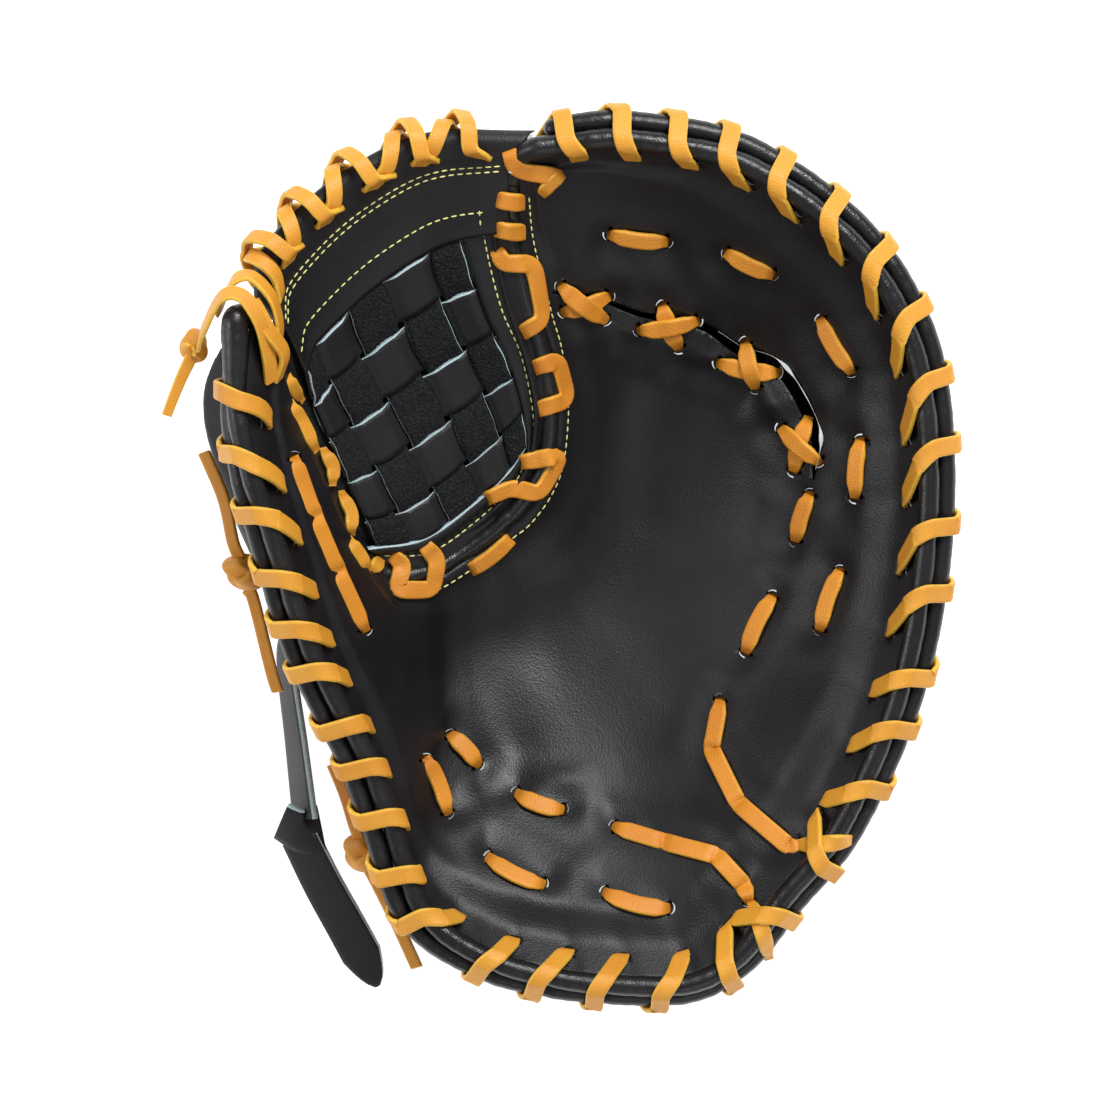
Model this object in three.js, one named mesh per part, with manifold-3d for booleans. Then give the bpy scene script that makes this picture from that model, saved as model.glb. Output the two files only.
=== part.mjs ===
// A first baseman mitt for the left hand, lying on its back with the pocket up.
// The palm and the back are two leather walls between the rim and the notch that holds the web.
// Both follow one curved middle surface, given by sections from the thumb tip round the heel
// to the top of the fingers. X runs across the mitt, Y up the mitt, Z off the floor.

import * as THREE from "three";
import { mergeVertices } from "three/addons/utils/BufferGeometryUtils.js";
import Module from "manifold-3d";

const wasm = await Module();
wasm.setup();

// Driving dimensions, millimetres
const MITT_WIDTH = 248.6; // between the thumb side's and the finger side's rim
const MITT_LENGTH = 306.6; // from the heel's rim to the top rim
const MITT_DEPTH = 118; // from the back's lowest place to the thumb tip's rim
const REST_DEPTH = 9; // how much of that the back gives where it is pressed flat on the floor
const HAND_ROOM = 25; // clear height for the hand between palm and back
const POCKET_ROOM = 6; // padding gap under the pocket
const WALL_PALM = 5; // padded palm leather
const WALL_RIM = 3.2; // palm leather along the rim
const WALL_BACK = 2.6; // back leather
const ROLL_RADIUS = 3.75; // edge bindings
const NOTCH_RADIUS = 3.3; // binding round the notch
const ROLL_INSET = 4.7; // from the rim's line to the leather's cut edge
const LACE_WIDTH = 6.4;
const LACE_THICKNESS = 2;
const LACE_INSET = 13; // from the rim's line to the lace holes
const LACE_PITCH = 21.5; // between lace holes
const LACE_LEAD = 0.72; // share of the pitch that a turn gains on the palm side
const FLANGE = 16; // palm and back lie together this far in from the rim
const SLIT_WIDTH = 2.6;
const CORD_WIDTH = 4.5; // the lace's free ends, folded lengthwise
const CORD_THICKNESS = 3;
const STRAP_THICKNESS = 2.4;
const STRAP_WIDTH = 15;
const WEB_WALL = 1.6;
const STRIP_THICKNESS = 1.2;
const STRIP_WAVE = 1.5; // how far a strip rises and dips over its neighbours
const STRIP_COUNT = 5; // strips each way
const STRIP_SHARE = 0.84; // strip width over strip pitch
const GAP = 0.3; // clearance between pieces
const SIMPLER = 0.18; // faces flatter than this are joined after a cut
const LACE_LIFT = 1.6; // how far a lace stands off the hollow leather under it
const LACE_GAP = 1; // clearance under a lace that lies on the leather

// Sections from the thumb tip round the heel to the top of the fingers.
// rim and edge (the notch side) are shares of the mitt's width, length and depth,
// sag is a share of the depth, sagAt the place between rim and edge where it is deepest,
// room a share of the hand's room and roomTo the place between rim and edge where it ends.
const SECTION_COLUMNS = ["rimX", "rimY", "rimZ", "edgeX", "edgeY", "edgeZ", "sag", "sagAt", "room", "roomTo"];
const SECTIONS = [
  [0.007, 0.766, 1.000, 0.057, 0.753, 0.847, -0.04, 0.50, 0.50, 1.00],
  [0.000, 0.689, 0.983, 0.075, 0.692, 0.678, -0.06, 0.50, 0.92, 1.00],
  [0.015, 0.609, 0.958, 0.109, 0.622, 0.576, -0.06, 0.50, 0.96, 1.00],
  [0.046, 0.528, 0.907, 0.150, 0.546, 0.466, -0.05, 0.50, 0.92, 1.00],
  [0.089, 0.413, 0.805, 0.189, 0.502, 0.398, -0.02, 0.50, 0.88, 1.00],
  [0.139, 0.325, 0.729, 0.212, 0.488, 0.373, 0.03, 0.50, 0.88, 0.95],
  [0.171, 0.274, 0.678, 0.229, 0.485, 0.364, 0.08, 0.50, 0.92, 0.88],
  [0.207, 0.192, 0.610, 0.265, 0.492, 0.339, 0.15, 0.52, 0.96, 0.78],
  [0.253, 0.089, 0.542, 0.287, 0.498, 0.322, 0.20, 0.56, 1.00, 0.70],
  [0.347, 0.033, 0.508, 0.309, 0.509, 0.314, 0.22, 0.60, 1.00, 0.64],
  [0.448, 0.009, 0.492, 0.331, 0.521, 0.305, 0.23, 0.62, 1.00, 0.60],
  [0.549, 0.000, 0.492, 0.353, 0.533, 0.305, 0.24, 0.64, 1.00, 0.60],
  [0.651, 0.002, 0.492, 0.370, 0.544, 0.305, 0.25, 0.65, 1.00, 0.60],
  [0.726, 0.035, 0.492, 0.382, 0.553, 0.314, 0.26, 0.65, 1.00, 0.60],
  [0.795, 0.106, 0.517, 0.394, 0.561, 0.314, 0.27, 0.62, 0.92, 0.60],
  [0.874, 0.187, 0.559, 0.404, 0.570, 0.322, 0.29, 0.60, 0.84, 0.60],
  [0.956, 0.335, 0.627, 0.426, 0.594, 0.339, 0.32, 0.60, 0.80, 0.58],
  [0.996, 0.494, 0.695, 0.441, 0.623, 0.364, 0.35, 0.58, 0.76, 0.56],
  [1.000, 0.656, 0.763, 0.448, 0.670, 0.415, 0.35, 0.60, 0.68, 0.54],
  [0.967, 0.779, 0.814, 0.445, 0.711, 0.458, 0.32, 0.58, 0.50, 0.52],
  [0.878, 0.887, 0.864, 0.433, 0.757, 0.525, 0.25, 0.55, 0.30, 0.50],
  [0.725, 0.973, 0.898, 0.412, 0.809, 0.610, 0.17, 0.52, 0.12, 0.50],
  [0.576, 0.999, 0.915, 0.396, 0.866, 0.695, 0.09, 0.50, 0.05, 0.50],
  [0.505, 0.999, 0.915, 0.392, 0.905, 0.763, 0.05, 0.50, 0.00, 0.50],
  [0.441, 0.991, 0.907, 0.393, 0.942, 0.822, 0.01, 0.50, 0.00, 0.50],
];
const SAG_FULLNESS = 1.4; // above 1 the hollow's floor is broader
const WRIST = { from: 0.335, to: 0.555, lip: 0.13, fade: 0.03 }; // shares along the rim and inwards

// Pads and dents of the palm: place in shares, reach as a share of the width, rise as a share of the wall
const PADS = [
  { x: 0.42, y: 0.11, reach: 0.15, rise: 0.75 },
  { x: 0.66, y: 0.12, reach: 0.13, rise: 0.55 },
  { x: 0.23, y: 0.33, reach: 0.10, rise: 0.60 },
  { x: 0.83, y: 0.27, reach: 0.11, rise: 0.60 },
  { x: 0.37, y: 0.26, reach: 0.06, rise: -0.35 },
  { x: 0.50, y: 0.30, reach: 0.10, rise: 0.30 },
  { x: 0.70, y: 0.86, reach: 0.14, rise: 0.35 },
  { x: 0.90, y: 0.60, reach: 0.10, rise: 0.35 },
];

// The web's four sides, in shares of the mitt's width, length and depth
const WEB_SIDES = {
  left: [[0.197, 0.510, 0.390], [0.169, 0.552, 0.466], [0.127, 0.628, 0.559], [0.093, 0.696, 0.661],
    [0.074, 0.758, 0.797], [0.035, 0.808, 0.949]],
  right: [[0.420, 0.629, 0.364], [0.429, 0.670, 0.415], [0.426, 0.709, 0.458], [0.415, 0.757, 0.525],
    [0.393, 0.805, 0.610], [0.378, 0.864, 0.695], [0.372, 0.914, 0.780], [0.373, 0.963, 0.856],
    [0.397, 0.999, 0.907]],
  bottom: [[0.197, 0.510, 0.390], [0.270, 0.510, 0.347], [0.334, 0.543, 0.314], [0.392, 0.588, 0.322],
    [0.420, 0.629, 0.364]],
  top: [[0.035, 0.808, 0.949], [0.040, 0.856, 0.949], [0.088, 0.905, 0.932], [0.155, 0.950, 0.924],
    [0.238, 0.987, 0.915], [0.306, 0.999, 0.915], [0.397, 0.999, 0.907]],
};
const WEB_SAG = 0.05; // share of the depth
const WEB_WINDOW = { left: 0.02, rightLow: 0.93, rightHigh: 0.87, bottom: 0.08, top: 0.69 };

const SLIT = [[0.452, 0.818], [0.520, 0.812], [0.578, 0.795], [0.666, 0.782], [0.725, 0.753], [0.776, 0.736],
  [0.813, 0.695], [0.835, 0.648], [0.831, 0.600]];

// Laces that lie on the leather, each a run of places in shares of the width and the length
const CROSS_LACES = [
  [[[0.461, 0.828], [0.533, 0.786]], [[0.462, 0.795], [0.537, 0.817]]],
  [[[0.574, 0.776], [0.666, 0.788]], [[0.610, 0.808], [0.638, 0.753]]],
  [[[0.732, 0.764], [0.749, 0.706]], [[0.690, 0.739], [0.783, 0.726]]],
  [[[0.782, 0.664], [0.842, 0.619]], [[0.825, 0.674], [0.803, 0.607]]],
];
const PALM_LACES = [
  [[0.530, 0.886], [0.621, 0.877]],
  [[0.698, 0.866], [0.773, 0.837]],
  [[0.836, 0.790], [0.885, 0.723]],
  [[0.897, 0.649], [0.890, 0.576]],
  [[0.871, 0.496], [0.840, 0.420]],
  [[0.828, 0.586], [0.806, 0.525]],
  [[0.776, 0.465], [0.733, 0.392]],
  [[0.698, 0.342], [0.684, 0.281], [0.722, 0.218], [0.795, 0.168], [0.816, 0.172]],
  [[0.538, 0.190], [0.614, 0.172], [0.690, 0.157], [0.730, 0.122], [0.738, 0.100]],
  [[0.265, 0.274], [0.299, 0.203]],
  [[0.298, 0.300], [0.345, 0.259]],
  [[0.396, 0.229], [0.470, 0.208]],
  [[0.354, 0.156], [0.442, 0.121]],
  [[0.524, 0.114], [0.625, 0.094]],
  [[0.082, 0.627], [0.112, 0.556], [0.144, 0.492], [0.183, 0.421]],
];

const NOTCH_LACES = [
  [[0.394, 0.966], [0.434, 0.952], [0.470, 0.954]],
  [[0.368, 0.923], [0.416, 0.919]],
  [[0.368, 0.889], [0.417, 0.886]],
  [[0.369, 0.871], [0.381, 0.850], [0.425, 0.850], [0.439, 0.786], [0.402, 0.768]],
  [[0.419, 0.729], [0.460, 0.740], [0.475, 0.694], [0.422, 0.680]],
  [[0.400, 0.620], [0.465, 0.629], [0.433, 0.583], [0.392, 0.591], [0.351, 0.576]],
  [[0.326, 0.491], [0.394, 0.534]],
  [[0.261, 0.527], [0.284, 0.505], [0.277, 0.470], [0.224, 0.470], [0.234, 0.499], [0.215, 0.514]],
];
const KNOT_RADIUS = 3.4; // of a loop in a knot
const KNOTS = {
  tip: { at: [-0.054, 0.761, 0.864], turn: 0.6 },
  thumb: { at: [-0.012, 0.490, 0.712], turn: -0.3 },
  heel: { at: [0.128, 0.160, 0.485], turn: -0.5 },
};
// The loop at the thumb's tip and the place it bends round
const TIP_LOOP = [[-0.050, 0.765, 0.880], [-0.034, 0.782, 0.960], [-0.012, 0.797, 1.040], [0.014, 0.800, 1.085],
  [0.036, 0.784, 1.060], [0.046, 0.762, 0.990]];
const LOOP_CENTRE = [0.012, 0.750, 0.940];

// Routes of the lace's free ends and of the strap, in shares of the width, length and depth
const LACE_ENDS = [
  { knot: "thumb", upwards: true,
    rows: [[-0.068, 0.643, 0.780], [-0.041, 0.590, 0.763], [-0.028, 0.540, 0.737], [-0.018, 0.520, 0.725]] },
  { knot: "thumb", upwards: false,
    rows: [[0.003, 0.460, 0.695], [0.012, 0.446, 0.695], [0.035, 0.365, 0.610], [0.044, 0.340, 0.585]] },
  { knot: "heel", upwards: true,
    rows: [[0.095, 0.289, 0.627], [0.112, 0.254, 0.602], [0.124, 0.220, 0.568], [0.132, 0.200, 0.542]] },
  { knot: "heel", upwards: false,
    rows: [[0.168, 0.130, 0.495], [0.181, 0.110, 0.480], [0.207, 0.066, 0.438], [0.238, 0.009, 0.390]] },
];
const STRAP = {
  band: [[0.061, 0.411, 0.441], [0.055, 0.381, 0.424], [0.068, 0.293, 0.398], [0.081, 0.200, 0.381]],
  keeper: [[0.060, 0.178, 0.375], [0.090, 0.166, 0.380], [0.118, 0.170, 0.370]],
  tail: [[0.104, 0.132, 0.350], [0.120, 0.110, 0.335], [0.158, 0.060, 0.300], [0.196, 0.000, 0.263]],
};
const LACE_RUNS = [[0.021, 0.290], [0.350, 0.440], [0.540, 0.982]]; // shares of the rim's length
const WEB_TURNS = 5; // of each lace over the web's top edge
const TOP_LACE_WIDTH = 5.6;

const leather = new THREE.MeshStandardMaterial({ color: 0x2b2a2e, roughness: 0.5, metalness: 0 });
const suede = new THREE.MeshStandardMaterial({ color: 0x242528, roughness: 0.9, metalness: 0 });
const lace = new THREE.MeshStandardMaterial({ color: 0xe39a3c, roughness: 0.6, metalness: 0 });

const mitt = new THREE.Group();

// Small helpers
const clamp01 = (value) => Math.min(1, Math.max(0, value));
const mix = (a, b, t) => a + (b - a) * t;
const smooth = (value) => clamp01(value) ** 2 * (3 - 2 * clamp01(value));
const place = (x, y, z = 0) => new THREE.Vector3(x * MITT_WIDTH, y * MITT_LENGTH, z * MITT_DEPTH);

// A smooth curve through evenly spaced values; t runs from 0 to 1
function through(values, t) {
  const last = values.length - 1;
  const i = Math.min(last - 1, Math.floor(clamp01(t) * last));
  const f = clamp01(t) * last - i;
  const p1 = values[i];
  const p2 = values[i + 1];
  const p0 = i > 0 ? values[i - 1] : 2 * p1 - p2;
  const p3 = i + 2 <= last ? values[i + 2] : 2 * p2 - p1;
  return p1 + 0.5 * f * (p2 - p0 + f * (2 * p0 - 5 * p1 + 4 * p2 - p3 + f * (3 * (p1 - p2) + p3 - p0)));
}

const columns = Object.fromEntries(
  SECTION_COLUMNS.map((name, k) => [name, SECTIONS.map((row) => row[k])]));
const sectionCache = new Map();

// The section at u, a share of the way round the rim
function sectionAt(u) {
  if (!sectionCache.has(u)) {
    const value = (name) => through(columns[name], u);
    sectionCache.set(u, {
      rim: place(value("rimX"), value("rimY"), value("rimZ")),
      edge: place(value("edgeX"), value("edgeY"), value("edgeZ")),
      sag: value("sag") * MITT_DEPTH,
      sagAt: value("sagAt"),
      room: Math.max(0, value("room")) * HAND_ROOM,
      roomTo: value("roomTo"),
    });
  }
  return sectionCache.get(u);
}

// The middle surface between palm and back: u round the rim, v from the rim in to the notch
function middle(u, v) {
  const s = sectionAt(u);
  const warped = (v * (1 - s.sagAt)) / (v * (1 - s.sagAt) + s.sagAt * (1 - v));
  const hollow = 1 - (1 - Math.sin(Math.PI * warped)) ** SAG_FULLNESS;
  const point = new THREE.Vector3().lerpVectors(s.rim, s.edge, v);
  point.z -= s.sag * hollow;
  return point;
}

// The middle surface's normal, towards the palm's face
function normalAt(u, v) {
  const step = 0.002;
  const u0 = Math.max(0, u - step);
  const v0 = Math.max(0, v - step);
  const along = middle(Math.min(1, u + step), v).sub(middle(u0, v));
  const across = middle(u, Math.min(1, v + step)).sub(middle(u, v0));
  const normal = along.cross(across).normalize();
  return normal.z < 0 ? normal.negate() : normal;
}

const inboardCache = new Map();

// The v at a distance in from the rim, measured on the middle surface
function inboard(u, distance) {
  const key = `${u},${distance}`;
  if (!inboardCache.has(key)) {
    const step = 0.004;
    let v = 0;
    let walked = 0;
    let here = middle(u, 0);
    while (walked < distance && v < 0.9) {
      const next = middle(u, v + step);
      const length = next.distanceTo(here);
      v += step * Math.min(1, (distance - walked) / length);
      walked += length;
      here = next;
    }
    inboardCache.set(key, v);
  }
  return inboardCache.get(key);
}

// The v at a distance in from the notch's line
function inboardOfNotch(u, distance) {
  const key = `${u},notch,${distance}`;
  if (!inboardCache.has(key)) {
    const edge = middle(u, 1);
    let v = 1;
    while (v > 0.5 && middle(u, v).distanceTo(edge) < distance) v -= 0.002;
    inboardCache.set(key, v);
  }
  return inboardCache.get(key);
}

// 1 where the wrist's opening is, 0 elsewhere
const wristOpen = (u) => smooth((u - WRIST.from) / WRIST.fade) * smooth((WRIST.to - u) / WRIST.fade);

// Clear height between palm and back
function roomAt(u, v) {
  const s = sectionAt(u);
  const start = inboard(u, FLANGE);
  const end = inboardOfNotch(u, FLANGE * 0.5);
  const reach = Math.min(s.roomTo, end) - start;
  const rise = mix(smooth((v - start) / (0.32 * reach)), 1, wristOpen(u));
  const fall = smooth((Math.min(s.roomTo, end) - v) / (0.42 * reach));
  const pocket = POCKET_ROOM * smooth((v - start) / 0.1) * smooth((end - v) / 0.1);
  return Math.max(s.room * rise * fall, pocket);
}

// Thickness of the palm with its pads and dents
function palmWall(u, v, point) {
  const inner = smooth((v - inboard(u, FLANGE)) / 0.08) * smooth((inboardOfNotch(u, 8) - v) / 0.08);
  const bumps = PADS.reduce((sum, pad) => {
    const dx = (point.x - pad.x * MITT_WIDTH) / (pad.reach * MITT_WIDTH);
    const dy = (point.y - pad.y * MITT_LENGTH) / (pad.reach * MITT_WIDTH);
    return sum + pad.rise * Math.exp(-(dx * dx + dy * dy));
  }, 0);
  return mix(WALL_RIM, WALL_PALM * (1 + bumps), inner);
}

function offset(u, v, distance) {
  return middle(u, v).addScaledVector(normalAt(u, v), distance);
}

const palmFront = (u, v) => offset(u, v, GAP / 2 + palmWall(u, v, middle(u, v)));
const palmInner = (u, v) => offset(u, v, GAP / 2);

// 1 where the thumb's section is crowned, 0 where it is flat or hollow
const crowned = (u) => clamp01(-sectionAt(u).sag / (0.06 * MITT_DEPTH));
// The back stands a little further off where the thumb is crowned
const backGap = (u) => GAP / 2 + 0.5 * crowned(u);

// The back's two faces, flattened where they meet the floor
function backInner(u, v) {
  const point = offset(u, v, -backGap(u) - roomAt(u, v));
  point.z = Math.max(REST_DEPTH + WALL_BACK, point.z);
  return point;
}

function backOuter(u, v) {
  const point = offset(u, v, -backGap(u) - roomAt(u, v) - WALL_BACK);
  point.z = Math.max(REST_DEPTH, point.z);
  return point;
}

// A closed body from a box's grid, each corner sent to a place by its three shares
function bentBox(stepsA, stepsB, send) {
  const box = new THREE.BoxGeometry(1, 1, 1, stepsA, stepsB, 1);
  const positions = box.attributes.position;
  for (let i = 0; i < positions.count; i += 1) {
    const at = send(positions.getX(i) + 0.5, positions.getY(i) + 0.5, positions.getZ(i) + 0.5);
    positions.setXYZ(i, at.x, at.y, at.z);
  }
  return closed(box);
}

// One closed mesh with shared corners and its faces pointing out
function closed(geometry) {
  geometry.deleteAttribute("normal");
  geometry.deleteAttribute("uv");
  const merged = mergeVertices(geometry, 1e-3);
  const p = merged.attributes.position;
  const index = Array.from(merged.index.array);
  const a = new THREE.Vector3();
  const b = new THREE.Vector3();
  const c = new THREE.Vector3();
  const faces = [];
  let volume = 0;
  for (let i = 0; i < index.length; i += 3) {
    const [ia, ib, ic] = index.slice(i, i + 3);
    if (ia === ib || ib === ic || ic === ia) continue;
    a.fromBufferAttribute(p, ia);
    b.fromBufferAttribute(p, ib);
    c.fromBufferAttribute(p, ic);
    volume += a.dot(b.cross(c));
    faces.push([ia, ib, ic]);
  }
  merged.setIndex(faces.flatMap(([ia, ib, ic]) => (volume < 0 ? [ia, ic, ib] : [ia, ib, ic])));
  return merged;
}

function toSolid(geometry) {
  return new wasm.Manifold(new wasm.Mesh({
    numProp: 3,
    vertProperties: new Float32Array(geometry.attributes.position.array),
    triVerts: new Uint32Array(geometry.index.array),
  }));
}

function fromSolid(solid) {
  const mesh = solid.getMesh();
  const geometry = new THREE.BufferGeometry();
  geometry.setAttribute("position", new THREE.BufferAttribute(mesh.vertProperties, 3));
  geometry.setIndex(Array.from(mesh.triVerts));
  return geometry;
}

// Two solids in one, without any closed space left between them
const joined = (a, b) => a.add(b).simplify(SIMPLER).decompose().find((body) => body.volume() > 0);

function add(name, geometry, material) {
  const mesh = new THREE.Mesh(geometry, material);
  mesh.name = name;
  mitt.add(mesh);
}

// A round roll along points
function roll(points, radius, steps, sides = 8) {
  const circle = new THREE.Shape(Array.from({ length: sides }, (_, k) => {
    const turn = (2 * Math.PI * k) / sides;
    return new THREE.Vector2(radius * Math.cos(turn), radius * Math.sin(turn));
  }));
  const extrudePath = new THREE.CatmullRomCurve3(points);
  return closed(new THREE.ExtrudeGeometry(circle, { steps, bevelEnabled: false, extrudePath }));
}

// A flat band along points, with the way its face looks at each point
function band(points, outward, width, thickness) {
  const last = points.length - 1;
  const frames = points.map((point, i) => {
    const before = points[Math.max(0, i - 1)];
    const after = points[Math.min(last, i + 1)];
    const tangent = after.clone().sub(before).normalize();
    const side = tangent.clone().cross(outward[i]).normalize();
    const up = side.clone().cross(tangent).normalize();
    const bend = i > 0 && i < last
      ? point.clone().sub(before).angleTo(after.clone().sub(point)) / 2 : 0;
    return { point, side, up: up.multiplyScalar(Math.min(1.4, 1 / Math.cos(bend))) };
  });
  return bentBox(last, 1, (a, b, c) => {
    const frame = frames[Math.round(a * last)];
    return frame.point.clone()
      .addScaledVector(frame.side, (b - 0.5) * width)
      .addScaledVector(frame.up, (c - 0.5) * thickness);
  });
}

// Lace turns round the rim
const RIM_SAMPLES = 600;
const rimLengths = [0];
for (let i = 1; i <= RIM_SAMPLES; i += 1) {
  const step = middle(i / RIM_SAMPLES, 0).distanceTo(middle((i - 1) / RIM_SAMPLES, 0));
  rimLengths.push(rimLengths[i - 1] + step);
}
const rimLength = rimLengths[RIM_SAMPLES];

// The u at a distance along the rim from the thumb tip
function rimAt(distance) {
  const i = Math.max(1, rimLengths.findIndex((length) => length >= distance));
  const f = (distance - rimLengths[i - 1]) / (rimLengths[i] - rimLengths[i - 1]);
  return (i - 1 + f) / RIM_SAMPLES;
}

function rimFrame(u) {
  const step = 0.002;
  const along = middle(Math.min(1, u + step), 0).sub(middle(Math.max(0, u - step), 0)).normalize();
  const normal = normalAt(u, 0.004);
  const outward = along.clone().cross(normal).normalize();
  const inward = middle(u, 0.02).sub(middle(u, 0));
  if (outward.dot(inward) > 0) outward.negate();
  return { centre: middle(u, 0), normal, outward };
}

// Points of one turn: distance in from the rim, height, lean of the face, share of the pitch gained
const TURN_REACH = ROLL_RADIUS + LACE_LIFT + GAP / 2 + LACE_THICKNESS / 2;
const TURN_LEVEL = ROLL_RADIUS + GAP / 2;
function laceTurn() {
  const palmLevel = WALL_RIM + GAP / 2 + LACE_LIFT + LACE_THICKNESS / 2;
  const backLevel = -(WALL_BACK + 4 * GAP + LACE_THICKNESS / 2);
  const arc = (centre, degrees, more = 0) => {
    const turn = (degrees * Math.PI) / 180;
    const reach = TURN_REACH + more;
    return { inset: reach * Math.cos(turn), height: centre + reach * Math.sin(turn), lean: degrees };
  };
  return [
    { inset: LACE_INSET, height: palmLevel, lean: 45, gain: 0 },
    { ...arc(TURN_LEVEL, 68), gain: LACE_LEAD * 0.55 },
    { ...arc(TURN_LEVEL, 122), gain: LACE_LEAD * 0.78 },
    { ...arc(TURN_LEVEL, 178), gain: LACE_LEAD },
    { ...arc(-TURN_LEVEL, 184, 0.4), gain: LACE_LEAD + 0.05 },
    { ...arc(-TURN_LEVEL, 246, 2.1), gain: mix(LACE_LEAD, 1, 0.55) },
    { inset: LACE_INSET, height: backLevel, lean: 315, gain: 1 },
  ];
}

// A spiral of lace from one distance along the rim to another, and its holes' places
function rimLace(from, to, towardsTip) {
  const turns = Math.round(Math.abs(to - from) / LACE_PITCH);
  const pitch = (to - from) / turns;
  const points = [];
  const outward = [];
  const holes = [];
  for (let k = 0; k < turns; k += 1) {
    const start = from + k * pitch;
    holes.push(rimAt(start));
    laceTurn().forEach((stop) => {
      const u = rimAt(start + stop.gain * pitch);
      const frame = rimFrame(u);
      const outside = stop.inset < TURN_REACH;
      const v = outside ? 0 : inboard(u, stop.inset);
      const base = outside ? frame.centre.clone().addScaledVector(frame.outward, -stop.inset) : middle(u, v);
      const normal = outside ? frame.normal : normalAt(u, v);
      points.push(base.addScaledVector(normal, stop.height));
      const lean = (stop.lean * Math.PI) / 180;
      outward.push(normal.clone().multiplyScalar(Math.sin(lean))
        .addScaledVector(frame.outward, -Math.cos(lean)));
    });
  }
  holes.push(rimAt(to));
  return { geometry: band(points, outward, LACE_WIDTH, LACE_THICKNESS), holes };
}

// A slot cutter for the lace at u
function holeCutter(u) {
  const v = inboard(u, LACE_INSET);
  const normal = normalAt(u, v);
  const across = rimFrame(u).outward;
  const along = normal.clone().cross(across).normalize();
  const square = along.clone().cross(normal);
  const depth = 4 * (WALL_RIM + WALL_BACK);
  const cutter = new THREE.BoxGeometry(LACE_WIDTH + 5 * GAP, LACE_THICKNESS + 9 * GAP, depth);
  cutter.applyMatrix4(new THREE.Matrix4().makeBasis(along, square, normal).setPosition(middle(u, v)));
  return toSolid(closed(cutter));
}

const [thumbLace, heelLace, fingerLace] = LACE_RUNS.map(([from, to]) => rimLace(from * rimLength, to * rimLength));
const holeCutters = [...thumbLace.holes, ...heelLace.holes, ...fingerLace.holes].map(holeCutter);

// The slit between the pocket and the finger panel
function slitCutter() {
  const line = new THREE.SplineCurve(SLIT.map(([x, y]) => new THREE.Vector2(x * MITT_WIDTH, y * MITT_LENGTH)));
  const points = line.getPoints(14);
  const side = (sign) => points.map((point, i) => {
    const tangent = line.getTangent(i / 14);
    return new THREE.Vector2(point.x - sign * tangent.y * SLIT_WIDTH / 2, point.y + sign * tangent.x * SLIT_WIDTH / 2);
  });
  const outline = new THREE.Shape([...side(1), ...side(-1).reverse()]);
  const sheet = new THREE.ExtrudeGeometry(outline, { depth: 2 * MITT_DEPTH, bevelEnabled: false });
  sheet.translate(0, 0, -MITT_DEPTH / 2);
  return toSolid(closed(sheet));
}

// The palm and the back
const SHELL_STEPS = 33;
const SHELL_ROWS = 6;

function shell(inner, outer, startOf, notchInset) {
  return bentBox(SHELL_STEPS, SHELL_ROWS, (a, b, c) => {
    const start = startOf(a);
    const rim = Math.max(start, inboard(a, FLANGE));
    const row = Math.round(b * SHELL_ROWS);
    const v = row === 0 ? start : mix(rim, inboardOfNotch(a, notchInset), (row - 1) / (SHELL_ROWS - 1));
    return c > 0.5 ? outer(a, v) : inner(a, v);
  });
}

function pierced(geometry) {
  const cutters = [...holeCutters, slitCutter()];
  const cut = cutters.reduce((solid, cutter) => solid.subtract(cutter), toSolid(geometry));
  return fromSolid(cut.simplify(SIMPLER));
}

const palmStart = (u) => inboard(u, ROLL_INSET);
// The back's cut edge stands further in where the thumb is crowned, to clear its roll
const backStart = (u) => mix(inboard(u, ROLL_INSET * (1.2 + 0.85 * crowned(u))), WRIST.lip, wristOpen(u));
add("palm_shell", pierced(shell(palmInner, palmFront, palmStart, 1.08 * ROLL_INSET)), leather);
add("back_shell", pierced(shell(backInner, backOuter, backStart, 1.25 * ROLL_INSET)), leather);

// Rolls along the rim
const ROLL_STEPS = 38;
function rimRoll(side) {
  const points = Array.from({ length: ROLL_STEPS + 1 }, (_, i) => {
    const frame = rimFrame(i / ROLL_STEPS);
    return frame.centre.addScaledVector(frame.normal, side * TURN_LEVEL);
  });
  return roll(points, ROLL_RADIUS, ROLL_STEPS, 6);
}
add("palm_edge_roll", rimRoll(1), leather);
add("back_edge_roll", rimRoll(-1), leather);

const notchPoints = Array.from({ length: ROLL_STEPS + 1 }, (_, i) => middle(i / ROLL_STEPS, 1));
add("notch_roll", roll(notchPoints, NOTCH_RADIUS, 30, 6), leather);

add("rim_lace_thumb", thumbLace.geometry, lace);
add("rim_lace_heel", heelLace.geometry, lace);
add("rim_lace_fingers", fingerLace.geometry, lace);

// The web
const side3 = (name, t) => place(...[0, 1, 2].map((k) => through(WEB_SIDES[name].map((row) => row[k]), t)));

function webAt(s, t) {
  const point = side3("bottom", s).multiplyScalar(1 - t).addScaledVector(side3("top", s), t)
    .addScaledVector(side3("left", t), 1 - s).addScaledVector(side3("right", t), s)
    .addScaledVector(side3("left", 0), -(1 - s) * (1 - t)).addScaledVector(side3("right", 0), -s * (1 - t))
    .addScaledVector(side3("left", 1), -(1 - s) * t).addScaledVector(side3("right", 1), -s * t);
  point.z -= WEB_SAG * MITT_DEPTH * Math.sin(Math.PI * s) * Math.sin(Math.PI * t);
  return point;
}

function webOffset(s, t, distance) {
  const step = 0.004;
  const s0 = Math.min(1 - step, Math.max(step, s));
  const t0 = Math.min(1 - step, Math.max(step, t));
  const along = webAt(s0 + step, t0).sub(webAt(s0 - step, t0));
  const up = webAt(s0, t0 + step).sub(webAt(s0, t0 - step));
  return webAt(s, t).addScaledVector(along.cross(up).normalize(), distance);
}

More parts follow.
